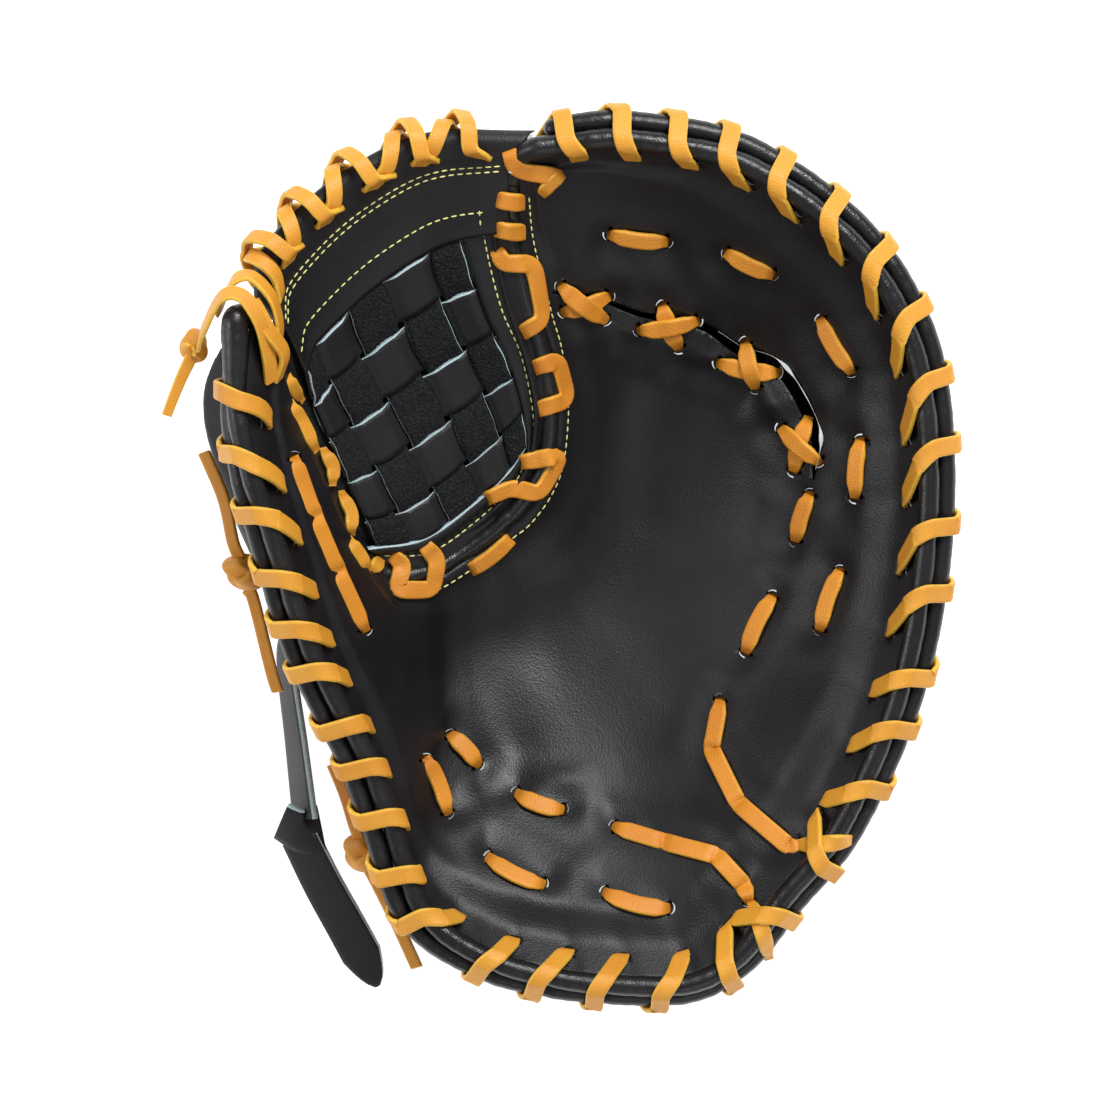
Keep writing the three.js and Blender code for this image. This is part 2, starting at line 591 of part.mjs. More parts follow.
// A panel of the web between two sides, a lower and an upper limit and two heights
function webPanel(leftAt, rightAt, bottom, top, heights, stepsS, stepsT) {
  return bentBox(stepsS, stepsT, (a, b, c) => {
    const t = mix(bottom, top, b);
    return webOffset(mix(leftAt(t), rightAt(t), a), t, mix(heights[0], heights[1], c));
  });
}

const BAND_BOTTOM = WEB_WINDOW.top + 0.006;
const windowRight = (t) => mix(WEB_WINDOW.rightLow, WEB_WINDOW.rightHigh,
  (t - WEB_WINDOW.bottom) / (WEB_WINDOW.top - WEB_WINDOW.bottom));
add("web_base_panel", webPanel(() => 0, () => 1, 0, 0.88, [-WEB_WALL - GAP, -GAP], 9, 7), leather);

// The top band folds over the web's edge; rows of its profile from its lower edge up
const TOP_BAND = [
  { at: 0, back: GAP, front: 2.2 },
  { at: 0.33, back: GAP, front: 2.5 },
  { at: 0.64, back: GAP, front: 3.2 },
  { at: 0.73, back: -3.4, front: 3.8 },
  { at: 0.88, back: -3.6, front: 3.9 },
  { at: 1, back: -1.6, front: 1.6 },
];

function topBand() {
  const rows = TOP_BAND.length - 1;
  return bentBox(8, rows, (a, b, c) => {
    const row = TOP_BAND[Math.round(b * rows)];
    return webOffset(a, mix(BAND_BOTTOM, 1, row.at), c > 0.5 ? row.front : row.back);
  });
}

// The top edge at s: its place, the way up out of the web and the way its face looks
function topFrame(s) {
  const top = webAt(s, 1);
  const below = webAt(s, 0.97);
  return { top, up: top.clone().sub(below).normalize(), normal: webOffset(s, 0.97, 1).sub(below) };
}

// Stops of one turn over the top edge: rise above the edge, height off the web, lean, share gained
const TOP_HOLE = -9;
const topTurn = (level) => [
  { rise: TOP_HOLE, height: 6, lean: 45, gain: 0 },
  { rise: -3.4, height: 7 + level, lean: 95, gain: 0.3 },
  { rise: 2.8 + level, height: 4 + 0.8 * level, lean: 140, gain: 0.44 },
  { rise: 2.8 + level, height: -4 - 0.8 * level, lean: 220, gain: 0.56 },
  { rise: -3.4, height: -6.7 - level, lean: 265, gain: 0.7 },
  { rise: TOP_HOLE, height: -6, lean: 315, gain: 1 },
];

// A lace over the top edge from one share of it to another, level lifts it over the other lace
function topLace(from, to, level) {
  const points = [];
  const outward = [];
  const holes = [];
  for (let k = 0; k < WEB_TURNS; k += 1) {
    holes.push(mix(from, to, k / WEB_TURNS));
    topTurn(level).forEach((stop) => {
      const { top, up, normal } = topFrame(mix(from, to, (k + stop.gain) / WEB_TURNS));
      points.push(top.addScaledVector(up, stop.rise).addScaledVector(normal, stop.height));
      const lean = (stop.lean * Math.PI) / 180;
      outward.push(normal.clone().multiplyScalar(Math.sin(lean)).addScaledVector(up, -Math.cos(lean)));
    });
  }
  holes.push(to);
  return { geometry: band(points, outward, TOP_LACE_WIDTH, LACE_THICKNESS), holes };
}

function topHoleCutter(s) {
  const { top, up, normal } = topFrame(s);
  const along = up.clone().cross(normal).normalize();
  const square = normal.clone().cross(along);
  const cutter = new THREE.BoxGeometry(TOP_LACE_WIDTH + 7 * GAP, LACE_THICKNESS + 9 * GAP, 5 * LACE_WIDTH);
  const centre = top.addScaledVector(up, TOP_HOLE);
  cutter.applyMatrix4(new THREE.Matrix4().makeBasis(along, square, normal).setPosition(centre));
  return toSolid(closed(cutter));
}

const topLaces = [topLace(0.05, 0.89, 0), topLace(0.95, 0.11, LACE_THICKNESS + 2 * GAP)];
const topCutters = topLaces.flatMap((each) => each.holes).map(topHoleCutter);
const cutBand = topCutters.reduce((solid, cutter) => solid.subtract(cutter), toSolid(topBand()));
add("web_top_band", fromSolid(cutBand.simplify(SIMPLER)), leather);
const crossed = topLaces.map((each) => toSolid(each.geometry));
add("web_top_lace", fromSolid(joined(...crossed)), lace);

function webFrame() {
  const heights = [GAP, 2];
  const low = webPanel(() => 0.01, () => 1, 0, WEB_WINDOW.bottom - 0.008, heights, 9, 1);
  const right = webPanel((t) => windowRight(t) + 0.012, () => 1, 0.03, WEB_WINDOW.top - 0.004, heights, 1, 7);
  return fromSolid(toSolid(low).add(toSolid(right)));
}
add("web_frame_panel", webFrame(), leather);

// Height of a woven strip above the base, along the strip in cells; sign says which way it starts
const STRIP_STOPS = [0.15, 0.85];
const stripLevel = 2 * GAP + STRIP_THICKNESS / 2 + STRIP_WAVE;
const stripWave = (cells, sign) => {
  const wave = Math.min(1, Math.max(-1, 2.2 * Math.sin(Math.PI * cells)));
  return stripLevel + sign * STRIP_WAVE * wave;
};

function webStrip(index, down) {
  const stations = Array.from({ length: STRIP_COUNT }, (_, k) => STRIP_STOPS.map((stop) => k + stop)).flat();
  stations.unshift(0);
  stations.push(STRIP_COUNT);
  const sign = (index % 2 === 0 ? 1 : -1) * (down ? 1 : -1);
  return bentBox(stations.length - 1, 1, (a, b, c) => {
    const along = stations[Math.round(a * (stations.length - 1))];
    const across = index + 0.5 + (b - 0.5) * STRIP_SHARE;
    const [x, y] = down ? [across, along] : [along, across];
    const t = mix(WEB_WINDOW.bottom, WEB_WINDOW.top, y / STRIP_COUNT);
    const s = mix(WEB_WINDOW.left, windowRight(t), x / STRIP_COUNT);
    return webOffset(s, t, stripWave(along, sign) + (c - 0.5) * STRIP_THICKNESS);
  });
}

for (let k = 0; k < STRIP_COUNT; k += 1) {
  add(`web_strip_across_${k + 1}`, webStrip(k, false), leather);
  add(`web_strip_down_${k + 1}`, webStrip(k, true), suede);
}

// Laces that lie on the leather
const ground = mitt.children.filter((mesh) => /^(palm_shell|notch_roll|web_)/.test(mesh.name)
  && mesh.material !== lace);
const down = new THREE.Vector3(0, 0, -1);

// The leather's height under a place, seen from above
function groundAt(x, y) {
  const from = new THREE.Vector3(x, y, 3 * MITT_DEPTH);
  const hit = new THREE.Raycaster(from, down).intersectObjects(ground, false)[0];
  return hit ? hit.point.z : -Infinity;
}

// The leather's height at a place, or close to it where the place is over a hole
function groundNear(at) {
  const near = [[0, 0], [4, 0], [-4, 0], [0, 4], [0, -4]];
  return Math.max(...near.map(([dx, dy]) => groundAt(at.x + dx, at.y + dy)));
}

// Places along a run of corners, no further apart than the step
function walk(corners, step) {
  const places = [];
  corners.forEach((corner, i) => {
    if (i === 0) return places.push(corner);
    const before = corners[i - 1];
    const count = Math.max(1, Math.round(before.distanceTo(corner) / step));
    for (let k = 1; k <= count; k += 1) places.push(before.clone().lerp(corner, k / count));
    return places;
  });
  return places;
}

// A lace laid over the leather along places in shares; rise lifts its middle over another lace
function laidLace(run, step, rise = 0) {
  const places = walk(run.map(([x, y]) => new THREE.Vector2(x * MITT_WIDTH, y * MITT_LENGTH)), step);
  const last = places.length - 1;
  const half = LACE_WIDTH / 2;
  const sides = places.map((at, i) => {
    const ahead = places[Math.min(last, i + 1)].clone().sub(at).normalize();
    const behind = at.clone().sub(places[Math.max(0, i - 1)]).normalize();
    const along = ahead.clone().add(behind).normalize();
    const miter = i > 0 && i < last ? 1 / Math.max(0.72, along.dot(ahead)) : 1;
    return new THREE.Vector2(-along.y, along.x).multiplyScalar(half * miter);
  });
  // Each rung spans the lace; it is raised until no sample of the leather stands above it
  let under = groundNear(places[Math.round(last / 2)]);
  const rungs = places.map((at, i) => {
    const heights = [-1, 0, 1].map((k) => groundAt(at.x + k * sides[i].x, at.y + k * sides[i].y));
    const known = heights.filter(Number.isFinite);
    under = known.length > 0 ? Math.max(...known) : under;
    const filled = heights.map((h) => (Number.isFinite(h) ? h : under));
    const short = Math.max(0, filled[1] - (filled[0] + filled[2]) / 2);
    return [filled[0] + short, filled[2] + short];
  });
  for (let round = 0; round < 8; round += 1) {
    for (let i = 0; i < last; i += 1) {
      [-1, -0.5, 0, 0.5, 1].forEach((k) => {
        const a = places[i].clone().addScaledVector(sides[i], k);
        const b = places[i + 1].clone().addScaledVector(sides[i + 1], k);
        const share = (k + 1) / 2;
        [0.2, 0.4, 0.6, 0.8].forEach((f) => {
          const lie = mix(mix(...rungs[i], share), mix(...rungs[i + 1], share), f);
          const short = groundAt(mix(a.x, b.x, f), mix(a.y, b.y, f)) - lie;
          if (short <= 0) return;
          rungs[i] = rungs[i].map((h) => h + short / 2);
          rungs[i + 1] = rungs[i + 1].map((h) => h + short / 2);
        });
      });
    }
  }
  const corner = (i, k) => new THREE.Vector3(places[i].x + (2 * k - 1) * sides[i].x,
    places[i].y + (2 * k - 1) * sides[i].y, rungs[i][k]);
  return bentBox(last, 1, (a, b, c) => {
    const i = Math.round(a * last);
    const across = corner(i, 1).sub(corner(i, 0));
    const along = corner(Math.min(last, i + 1), 0).add(corner(Math.min(last, i + 1), 1))
      .sub(corner(Math.max(0, i - 1), 0)).sub(corner(Math.max(0, i - 1), 1));
    const normal = along.cross(across).normalize();
    if (normal.z < 0) normal.negate();
    const lift = new THREE.Vector3(0, 0, LACE_GAP / Math.max(0.5, normal.z));
    return corner(i, b > 0.5 ? 1 : 0).add(lift)
      .addScaledVector(normal, rise * Math.sin(Math.PI * a) + (c > 0.5 ? LACE_THICKNESS : 0));
  });
}

CROSS_LACES.forEach(([under, over], k) => {
  const lower = toSolid(laidLace(under, 6));
  const upper = toSolid(laidLace(over, 6, 0.8 * LACE_THICKNESS));
  add(`cross_lace_${k + 1}`, fromSolid(joined(lower, upper)), lace);
});
PALM_LACES.forEach((run, k) => add(`palm_lace_${k + 1}`, laidLace(run, 7), lace));
NOTCH_LACES.forEach((run, k) => add(`notch_lace_${k + 1}`, laidLace(run, 3.6), lace));

// Knots and lace ends at the thumb side
function knot([x, y, z], turn) {
  const tube = 0.45 * CORD_WIDTH;
  const loop = toSolid(closed(new THREE.TorusGeometry(KNOT_RADIUS, tube, 5, 9)));
  const bar = toSolid(closed(new THREE.BoxGeometry(2 * (KNOT_RADIUS + CORD_WIDTH), CORD_WIDTH, 2 * CORD_THICKNESS)));
  const degrees = (turn * 180) / Math.PI;
  return joined(loop, bar).rotate([0, 0, degrees]).translate(place(x, y, z).toArray());
}

// The loop at the thumb's tip, a band that runs into the knot beside it
function tipLoop() {
  const points = new THREE.CatmullRomCurve3(TIP_LOOP.map((row) => place(...row))).getPoints(10);
  const middlePoint = place(...LOOP_CENTRE);
  const outward = points.map((point) => point.clone().sub(middlePoint).normalize());
  return toSolid(band(points, outward, LACE_WIDTH, LACE_THICKNESS));
}
const tipKnot = knot(KNOTS.tip.at, KNOTS.tip.turn);
const solidOf = (name) => toSolid(mitt.getObjectByName(name).geometry);

// A piece moved one way until it lies a small gap off another
const SETTLE_REACH = 25;
const SETTLE_ROUNDS = 12;
function settled(solid, other, way) {
  const step = new THREE.Vector3(...way).normalize();
  let moved = solid;
  for (let round = 0; round < SETTLE_ROUNDS; round += 1) {
    const gap = moved.minGap(other, SETTLE_REACH);
    moved = moved.translate(step.clone().multiplyScalar(gap - 0.8 * GAP).toArray());
  }
  return moved;
}

const palm = solidOf("palm_shell");
const back = solidOf("back_shell");
const knots = {
  tip: settled(joined(tipKnot, tipLoop()), palm, [0, 0, -1]),
  thumb: settled(knot(KNOTS.thumb.at, KNOTS.thumb.turn), back, [1, 0, -0.2]),
  heel: settled(knot(KNOTS.heel.at, KNOTS.heel.turn), back, [1, 0, -0.2]),
};
Object.entries(knots).forEach(([name, solid]) => add(`lace_knot_${name}`, fromSolid(solid), lace));

// A free end of the lace along its own points
function laceEnd(rows) {
  const curve = new THREE.CatmullRomCurve3(rows.map((row) => place(...row)));
  const outline = new THREE.Shape(Array.from({ length: 8 }, (_, k) => {
    const turn = (Math.PI * (k + 0.5)) / 4;
    return new THREE.Vector2(CORD_THICKNESS / 2 * Math.cos(turn), CORD_WIDTH / 2 * Math.sin(turn));
  }));
  return closed(new THREE.ExtrudeGeometry(outline, { steps: 5, bevelEnabled: false, extrudePath: curve }));
}
LACE_ENDS.forEach(({ knot: name, upwards, rows }, k) => {
  const box = knots[name].boundingBox();
  const centre = new THREE.Vector3(...box.min).add(new THREE.Vector3(...box.max)).multiplyScalar(0.5);
  const near = place(...rows[upwards ? rows.length - 1 : 0]);
  const solid = settled(toSolid(laceEnd(rows)), knots[name], centre.sub(near).toArray());
  add(`lace_end_${k + 1}`, fromSolid(solid), lace);
});

// The wrist strap: a band on edge, its keeper and the flat tail
function strapBand(rows, width, faceTurns) {
  const curve = new THREE.CatmullRomCurve3(rows.map((row) => place(...row)));
  const points = curve.getPoints(6);
  const outward = points.map((_, i) => {
    const turn = mix(...faceTurns, i / 6);
    return new THREE.Vector3(-Math.cos(turn), -0.3 * Math.cos(turn), Math.sin(turn));
  });
  return toSolid(band(points, outward, width, STRAP_THICKNESS));
}
const strap = settled(strapBand(STRAP.band, STRAP_WIDTH, [0.25, 0.45]), back, [1, 0, 0]);
const keeper = settled(strapBand(STRAP.keeper, 0.6 * STRAP_WIDTH, [0.7, 1.1]), strap, [-0.3, 1, 0]);
const tail = settled(strapBand(STRAP.tail, STRAP_WIDTH, [1.1, 1.3]), keeper, [-0.3, 1, 0]);
Object.entries({ band: strap, keeper, tail }).forEach(([name, solid]) => {
  add(`strap_${name}`, fromSolid(solid), leather);
});

// The origin is the middle of the mitt's footprint, on the floor; the free lace ends aren't counted
const counted = new THREE.Box3();
mitt.children.filter((mesh) => !mesh.name.startsWith("lace_end")).forEach((mesh) => counted.expandByObject(mesh));
const footprint = counted.getCenter(new THREE.Vector3());
mitt.position.set(-footprint.x, -footprint.y, -counted.min.z);

export default mitt;
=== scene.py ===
"""A first baseman mitt on its back, pocket up: leather, laces, woven web and stitches.

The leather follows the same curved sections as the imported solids. Everything is in metres."""

import math

import bmesh
import bpy
import numpy as np
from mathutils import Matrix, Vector
from mathutils.bvhtree import BVHTree


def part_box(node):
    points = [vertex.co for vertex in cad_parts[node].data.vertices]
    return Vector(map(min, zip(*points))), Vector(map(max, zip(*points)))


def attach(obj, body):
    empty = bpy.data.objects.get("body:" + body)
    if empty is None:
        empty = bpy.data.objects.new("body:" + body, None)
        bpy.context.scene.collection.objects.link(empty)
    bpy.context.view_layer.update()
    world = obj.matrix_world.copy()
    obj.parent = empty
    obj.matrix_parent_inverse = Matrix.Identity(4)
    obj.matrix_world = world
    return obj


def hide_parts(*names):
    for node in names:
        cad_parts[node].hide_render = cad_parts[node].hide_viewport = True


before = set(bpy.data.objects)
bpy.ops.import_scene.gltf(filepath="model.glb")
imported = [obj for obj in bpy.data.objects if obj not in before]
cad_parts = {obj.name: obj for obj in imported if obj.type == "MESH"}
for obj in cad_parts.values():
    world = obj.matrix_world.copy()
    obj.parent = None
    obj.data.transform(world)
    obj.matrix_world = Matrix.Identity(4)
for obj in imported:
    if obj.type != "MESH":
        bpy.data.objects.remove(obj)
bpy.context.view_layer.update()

MM = 0.001

# Driving sizes, the same as the solids'
WIDTH, LENGTH, DEPTH = 248.6 * MM, 306.6 * MM, 118 * MM
SIZE = np.array([WIDTH, LENGTH, DEPTH])
ORIGIN = np.array([-120.756, -154.689, -9.0]) * MM  # the sections' own corner in the row frame
HAND_ROOM = 25 * MM
POCKET_ROOM = 6 * MM
WALL_PALM = 5 * MM
WALL_RIM = 3.2 * MM
WALL_BACK = 2.6 * MM
ROLL_RADIUS = 3.75 * MM
NOTCH_RADIUS = 3.3 * MM
ROLL_INSET = 4.7 * MM
LACE_WIDTH = 6.6 * MM
LACE_THICKNESS = 2 * MM
LACE_INSET = 13 * MM
LACE_BOW = -0.05  # how far a short lace bends to its side, as a share of its length
# Turns of the lace round the rim: each hole and the place where the turn passes the edge, as
# shares of the rim's length, and the hole that the last turn ends in
RIM_TURNS = {
    "thumb": (((0.3224, 0.2969), (0.2899, 0.2733), (0.2629, 0.2440), (0.2347, 0.2174), (0.2120, 0.1948),
               (0.1850, 0.1640), (0.1617, 0.1412), (0.1325, 0.1151), (0.1015, 0.0837), (0.0746, 0.0550),
               (0.0433, 0.0270), 0.022),),
    "heel": (((0.4393, 0.4216), (0.4087, 0.3912), (0.3813, 0.3628), (0.3530, 0.3358), 0.3320),
             ((0.4700, 0.4930), 0.4960), ((0.4661, 0.4543), 0.4480)),
    "fingers": (((0.5478, 0.5677), (0.5776, 0.5985), (0.6082, 0.6240), (0.6399, 0.6645), (0.6716, 0.6958),
                 (0.7057, 0.7333), (0.7362, 0.7648), (0.7702, 0.7971), (0.8014, 0.8280), (0.8338, 0.8585),
                 (0.8645, 0.8882), (0.8927, 0.9150), (0.9209, 0.9386), (0.9493, 0.9642), (0.9757, 0.9900),
                 0.9930), ((0.5400, 0.5240), 0.5200)),
}
RIM_HOLE = (0.84 * LACE_WIDTH, 2.8 * MM)  # along the rim and across it
LACE_HOLE = (5.4 * MM, 2.2 * MM)  # across a laid lace and along it
LACE_WAY_IN = 1.1 * MM  # from a laid lace's end back to the middle of its hole
FLANGE = 16 * MM
PALM_GRID, BACK_GRID = (400, 86), (260, 44)  # corners round the rim and across
PALM_LIP = 1.3 * MM  # how far the palm's edge goes down under the notch's binding
PALM_RUN_ON = 5.4 * MM  # how far its two ends are drawn on to meet the binding
BINDING_SIDES, BINDING_STEPS = 20, 760
PINCH = (0.11, 4.2 * MM)  # share of a binding's radius under a lace, and reach along it
LACE_DENT = (0.9 * MM, 4.5 * MM)  # depth and reach of the dent under a laid lace
DENT_SWELL = (0.35 * MM, 9.5 * MM, 4 * MM)  # height, distance and reach of the swell beside it
HOLE_DENT = (0.75 * MM, 3.6 * MM)  # depth and reach of the dent that runs in from a rim's hole
LACE_STEP = 0.9 * MM
LACE_DIVE = (4.5 * MM, 3.6 * MM)  # how deep a laid lace's ends go, and over what length
SIDE_LACE_WIDTH, TOP_LACE_WIDTH, TIP_LACE_WIDTH = 5.4 * MM, 5.8 * MM, 6 * MM
HEM = (9 * MM, 1.4 * MM)
RAW_EDGE = (0.8 * MM, 0.5 * MM)
CORD_WIDTH = 4.5 * MM
KNOT_LACE = (4.6 * MM, 2.4 * MM)
CORD_THICKNESS = 2.4 * MM
KNOT_SWELL = 1.25  # the scene's knots stand a little proud of the solids
KNOT_SHIFT = np.array([-2.6, 0.4, 3.0]) * MM
STRAP_THICKNESS = 2.4 * MM
STRAP_WIDTH = 15 * MM
STRIP_THICKNESS = 1.2 * MM
STRIP_WAVE = 1.5 * MM
STRIP_COUNT = 5
STRIP_SHARE = 0.9
GAP = 0.3 * MM
SAG_FULLNESS = 1.4
# Where the wrist is open along the rim, how far in its lip stands, and how it fades, in shares
WRIST_FROM, WRIST_TO, WRIST_LIP, WRIST_FADE = 0.335, 0.555, 0.13, 0.03
CAMERA_HEIGHT = 2451 * MM
CAMERA_SPAN = 403.2 * MM  # what the photo's frame covers at CAMERA_SPAN_BELOW under the camera
CAMERA_SPAN_BELOW = 2400 * MM
CAMERA_AT = (-5.78 * MM, 0.24 * MM)

# Sections from the thumb tip round the heel to the top of the fingers, in shares:
# rim x y z, edge x y z, sag, place of the sag, room for the hand, place where the room ends
SECTIONS = np.array([
    [0.007, 0.766, 1.000, 0.057, 0.753, 0.847, -0.04, 0.50, 0.50, 1.00],
    [0.000, 0.689, 0.983, 0.075, 0.692, 0.678, -0.06, 0.50, 0.92, 1.00],
    [0.015, 0.609, 0.958, 0.109, 0.622, 0.576, -0.06, 0.50, 0.96, 1.00],
    [0.046, 0.528, 0.907, 0.150, 0.546, 0.466, -0.05, 0.50, 0.92, 1.00],
    [0.089, 0.413, 0.805, 0.189, 0.502, 0.398, -0.02, 0.50, 0.88, 1.00],
    [0.139, 0.325, 0.729, 0.212, 0.488, 0.373, 0.03, 0.50, 0.88, 0.95],
    [0.171, 0.274, 0.678, 0.229, 0.485, 0.364, 0.08, 0.50, 0.92, 0.88],
    [0.207, 0.192, 0.610, 0.265, 0.492, 0.339, 0.15, 0.52, 0.96, 0.78],
    [0.253, 0.089, 0.542, 0.287, 0.498, 0.322, 0.20, 0.56, 1.00, 0.70],
    [0.347, 0.033, 0.508, 0.309, 0.509, 0.314, 0.22, 0.60, 1.00, 0.64],
    [0.448, 0.009, 0.492, 0.331, 0.521, 0.305, 0.23, 0.62, 1.00, 0.60],
    [0.549, 0.000, 0.492, 0.353, 0.533, 0.305, 0.24, 0.64, 1.00, 0.60],
    [0.651, 0.002, 0.492, 0.370, 0.544, 0.305, 0.25, 0.65, 1.00, 0.60],
    [0.726, 0.035, 0.492, 0.382, 0.553, 0.314, 0.26, 0.65, 1.00, 0.60],
    [0.795, 0.106, 0.517, 0.394, 0.561, 0.314, 0.27, 0.62, 0.92, 0.60],
    [0.874, 0.187, 0.559, 0.404, 0.570, 0.322, 0.29, 0.60, 0.84, 0.60],
    [0.956, 0.335, 0.627, 0.426, 0.594, 0.339, 0.32, 0.60, 0.80, 0.58],
    [0.996, 0.494, 0.695, 0.441, 0.623, 0.364, 0.35, 0.58, 0.76, 0.56],
    [1.000, 0.656, 0.763, 0.448, 0.670, 0.415, 0.35, 0.60, 0.68, 0.54],
    [0.967, 0.779, 0.814, 0.445, 0.711, 0.458, 0.32, 0.58, 0.50, 0.52],
    [0.878, 0.887, 0.864, 0.433, 0.757, 0.525, 0.25, 0.55, 0.30, 0.50],
    [0.725, 0.973, 0.898, 0.412, 0.809, 0.610, 0.17, 0.52, 0.12, 0.50],
    [0.576, 0.999, 0.915, 0.396, 0.866, 0.695, 0.09, 0.50, 0.05, 0.50],
    [0.505, 0.999, 0.915, 0.392, 0.905, 0.763, 0.05, 0.50, 0.00, 0.50],
    [0.441, 0.991, 0.907, 0.393, 0.942, 0.822, 0.01, 0.50, 0.00, 0.50],
])

# Pads and dents of the palm: x, y, reach as a share of the width, rise as a share of the wall
PADS = (
    (0.42, 0.11, 0.15, 0.75), (0.66, 0.12, 0.13, 0.55), (0.23, 0.33, 0.10, 0.60),
    (0.83, 0.27, 0.11, 0.60), (0.37, 0.26, 0.06, -0.35), (0.50, 0.30, 0.10, 0.30),
    (0.70, 0.86, 0.14, 0.35), (0.90, 0.60, 0.10, 0.35),
)

# The web's four sides, in shares of the mitt
WEB_SIDES = {
    "left": [[0.197, 0.510, 0.390], [0.169, 0.552, 0.466], [0.127, 0.628, 0.559],
             [0.093, 0.696, 0.661], [0.074, 0.758, 0.797], [0.035, 0.808, 0.949]],
    "right": [[0.420, 0.629, 0.364], [0.429, 0.670, 0.415], [0.426, 0.709, 0.458],
              [0.415, 0.757, 0.525], [0.393, 0.805, 0.610], [0.378, 0.864, 0.695],
              [0.372, 0.914, 0.780], [0.373, 0.963, 0.856], [0.397, 0.999, 0.907]],
    "bottom": [[0.197, 0.510, 0.390], [0.270, 0.510, 0.347], [0.334, 0.543, 0.314],
               [0.392, 0.588, 0.322], [0.420, 0.629, 0.364]],
    "top": [[0.035, 0.808, 0.949], [0.040, 0.856, 0.949], [0.088, 0.905, 0.932],
            [0.155, 0.950, 0.924], [0.238, 0.987, 0.915], [0.306, 0.999, 0.915],
            [0.397, 0.999, 0.907]],
}
WEB_SAG = 0.05
WINDOW = {"left": 0.02, "right_low": 0.93, "right_high": 0.87, "bottom": 0.08, "top": 0.69}

# Laces and the slit, seen from above
SLIT = ((0.452, 0.818), (0.520, 0.812), (0.578, 0.795), (0.666, 0.782), (0.725, 0.753),
        (0.776, 0.736), (0.813, 0.695), (0.835, 0.648), (0.831, 0.600))
SLIT_WIDTHS = ((0, 0.12, 0.35, 0.55, 0.85, 1), (0.5, 1.5, 2.4, 4.4, 4.8, 0.6))  # share along it, mm
CROSS_LACES = (
    (((0.461, 0.828), (0.533, 0.786)), ((0.462, 0.795), (0.537, 0.817))),
    (((0.574, 0.776), (0.666, 0.788)), ((0.610, 0.808), (0.638, 0.753))),
    (((0.732, 0.764), (0.749, 0.706)), ((0.690, 0.739), (0.783, 0.726))),
    (((0.782, 0.664), (0.842, 0.619)), ((0.825, 0.674), (0.803, 0.607))),
)
SLIT_LACES = tuple(lace for pair in CROSS_LACES for lace in pair)
PALM_LACES = (
    ((0.530, 0.886), (0.621, 0.877)),
    ((0.698, 0.866), (0.773, 0.837)),
    ((0.836, 0.790), (0.885, 0.723)),
    ((0.897, 0.649), (0.890, 0.576)),
    ((0.871, 0.496), (0.840, 0.420)),
    ((0.828, 0.586), (0.806, 0.525)),
    ((0.776, 0.465), (0.733, 0.392)),
    ((0.698, 0.342), (0.684, 0.281), (0.722, 0.218), (0.795, 0.168), (0.816, 0.172)),
    ((0.538, 0.190), (0.614, 0.172), (0.690, 0.157), (0.730, 0.122), (0.738, 0.100)),
    ((0.299, 0.203), (0.265, 0.274)),
    ((0.345, 0.259), (0.298, 0.300)),
    ((0.396, 0.229), (0.470, 0.208)),
    ((0.354, 0.156), (0.442, 0.121)),
    ((0.524, 0.114), (0.625, 0.094)),
    ((0.082, 0.627), (0.112, 0.556), (0.144, 0.492), (0.183, 0.421)),
)
NOTCH_LACES = (
    ((0.388, 0.982), (0.401, 0.954), (0.470, 0.947)),
    ((0.368, 0.923), (0.416, 0.919)),
    ((0.368, 0.889), (0.417, 0.886)),
    ((0.369, 0.871), (0.381, 0.850), (0.425, 0.850), (0.439, 0.786), (0.402, 0.768)),
    ((0.419, 0.729), (0.460, 0.740), (0.475, 0.694), (0.422, 0.680)),
    ((0.400, 0.620), (0.465, 0.629), (0.433, 0.583), (0.392, 0.591), (0.351, 0.576)),
    ((0.326, 0.491), (0.394, 0.534)),
    ((0.261, 0.527), (0.284, 0.505), (0.277, 0.470), (0.224, 0.470), (0.234, 0.499), (0.215, 0.514)),
)
# Short laces that tie the web to the thumb's side, and the return of the corner lace
WEB_SIDE_LACES = (
    ((0.072, 0.722), (0.092, 0.690)),
    ((0.076, 0.690), (0.098, 0.660), (0.113, 0.632)),
    ((0.120, 0.636), (0.136, 0.614), (0.134, 0.592)),
    ((0.145, 0.586), (0.162, 0.560), (0.160, 0.534)),
    ((0.156, 0.532), (0.176, 0.508), (0.186, 0.492)),
    ((0.186, 0.492), (0.204, 0.508)),
    ((0.472, 0.954), (0.4325, 0.924)),
)
# The last reach of the palm's two long laces, over the bindings
RIM_REACHES = (
    ((0.800, 0.170), (0.850, 0.174), (0.890, 0.178)),
    ((0.739, 0.106), (0.752, 0.078), (0.766, 0.036)),
)
# Loops of lace over the thumb's tip
TIP_LOOPS = (
    ((-0.050, 0.752, 0.900), (-0.040, 0.772, 0.985), (-0.014, 0.806, 1.075), (0.016, 0.806, 1.085),
     (0.040, 0.778, 1.060), (0.050, 0.742, 0.990), (0.053, 0.712, 0.930)),
    ((-0.020, 0.790, 0.960), (-0.002, 0.822, 1.040), (0.026, 0.830, 1.050), (0.056, 0.806, 1.030),
     (0.066, 0.772, 0.980), (0.060, 0.742, 0.930)),
    ((0.030, 0.800, 1.040), (0.050, 0.770, 1.030), (0.072, 0.742, 0.960), (0.062, 0.714, 0.900)),
)
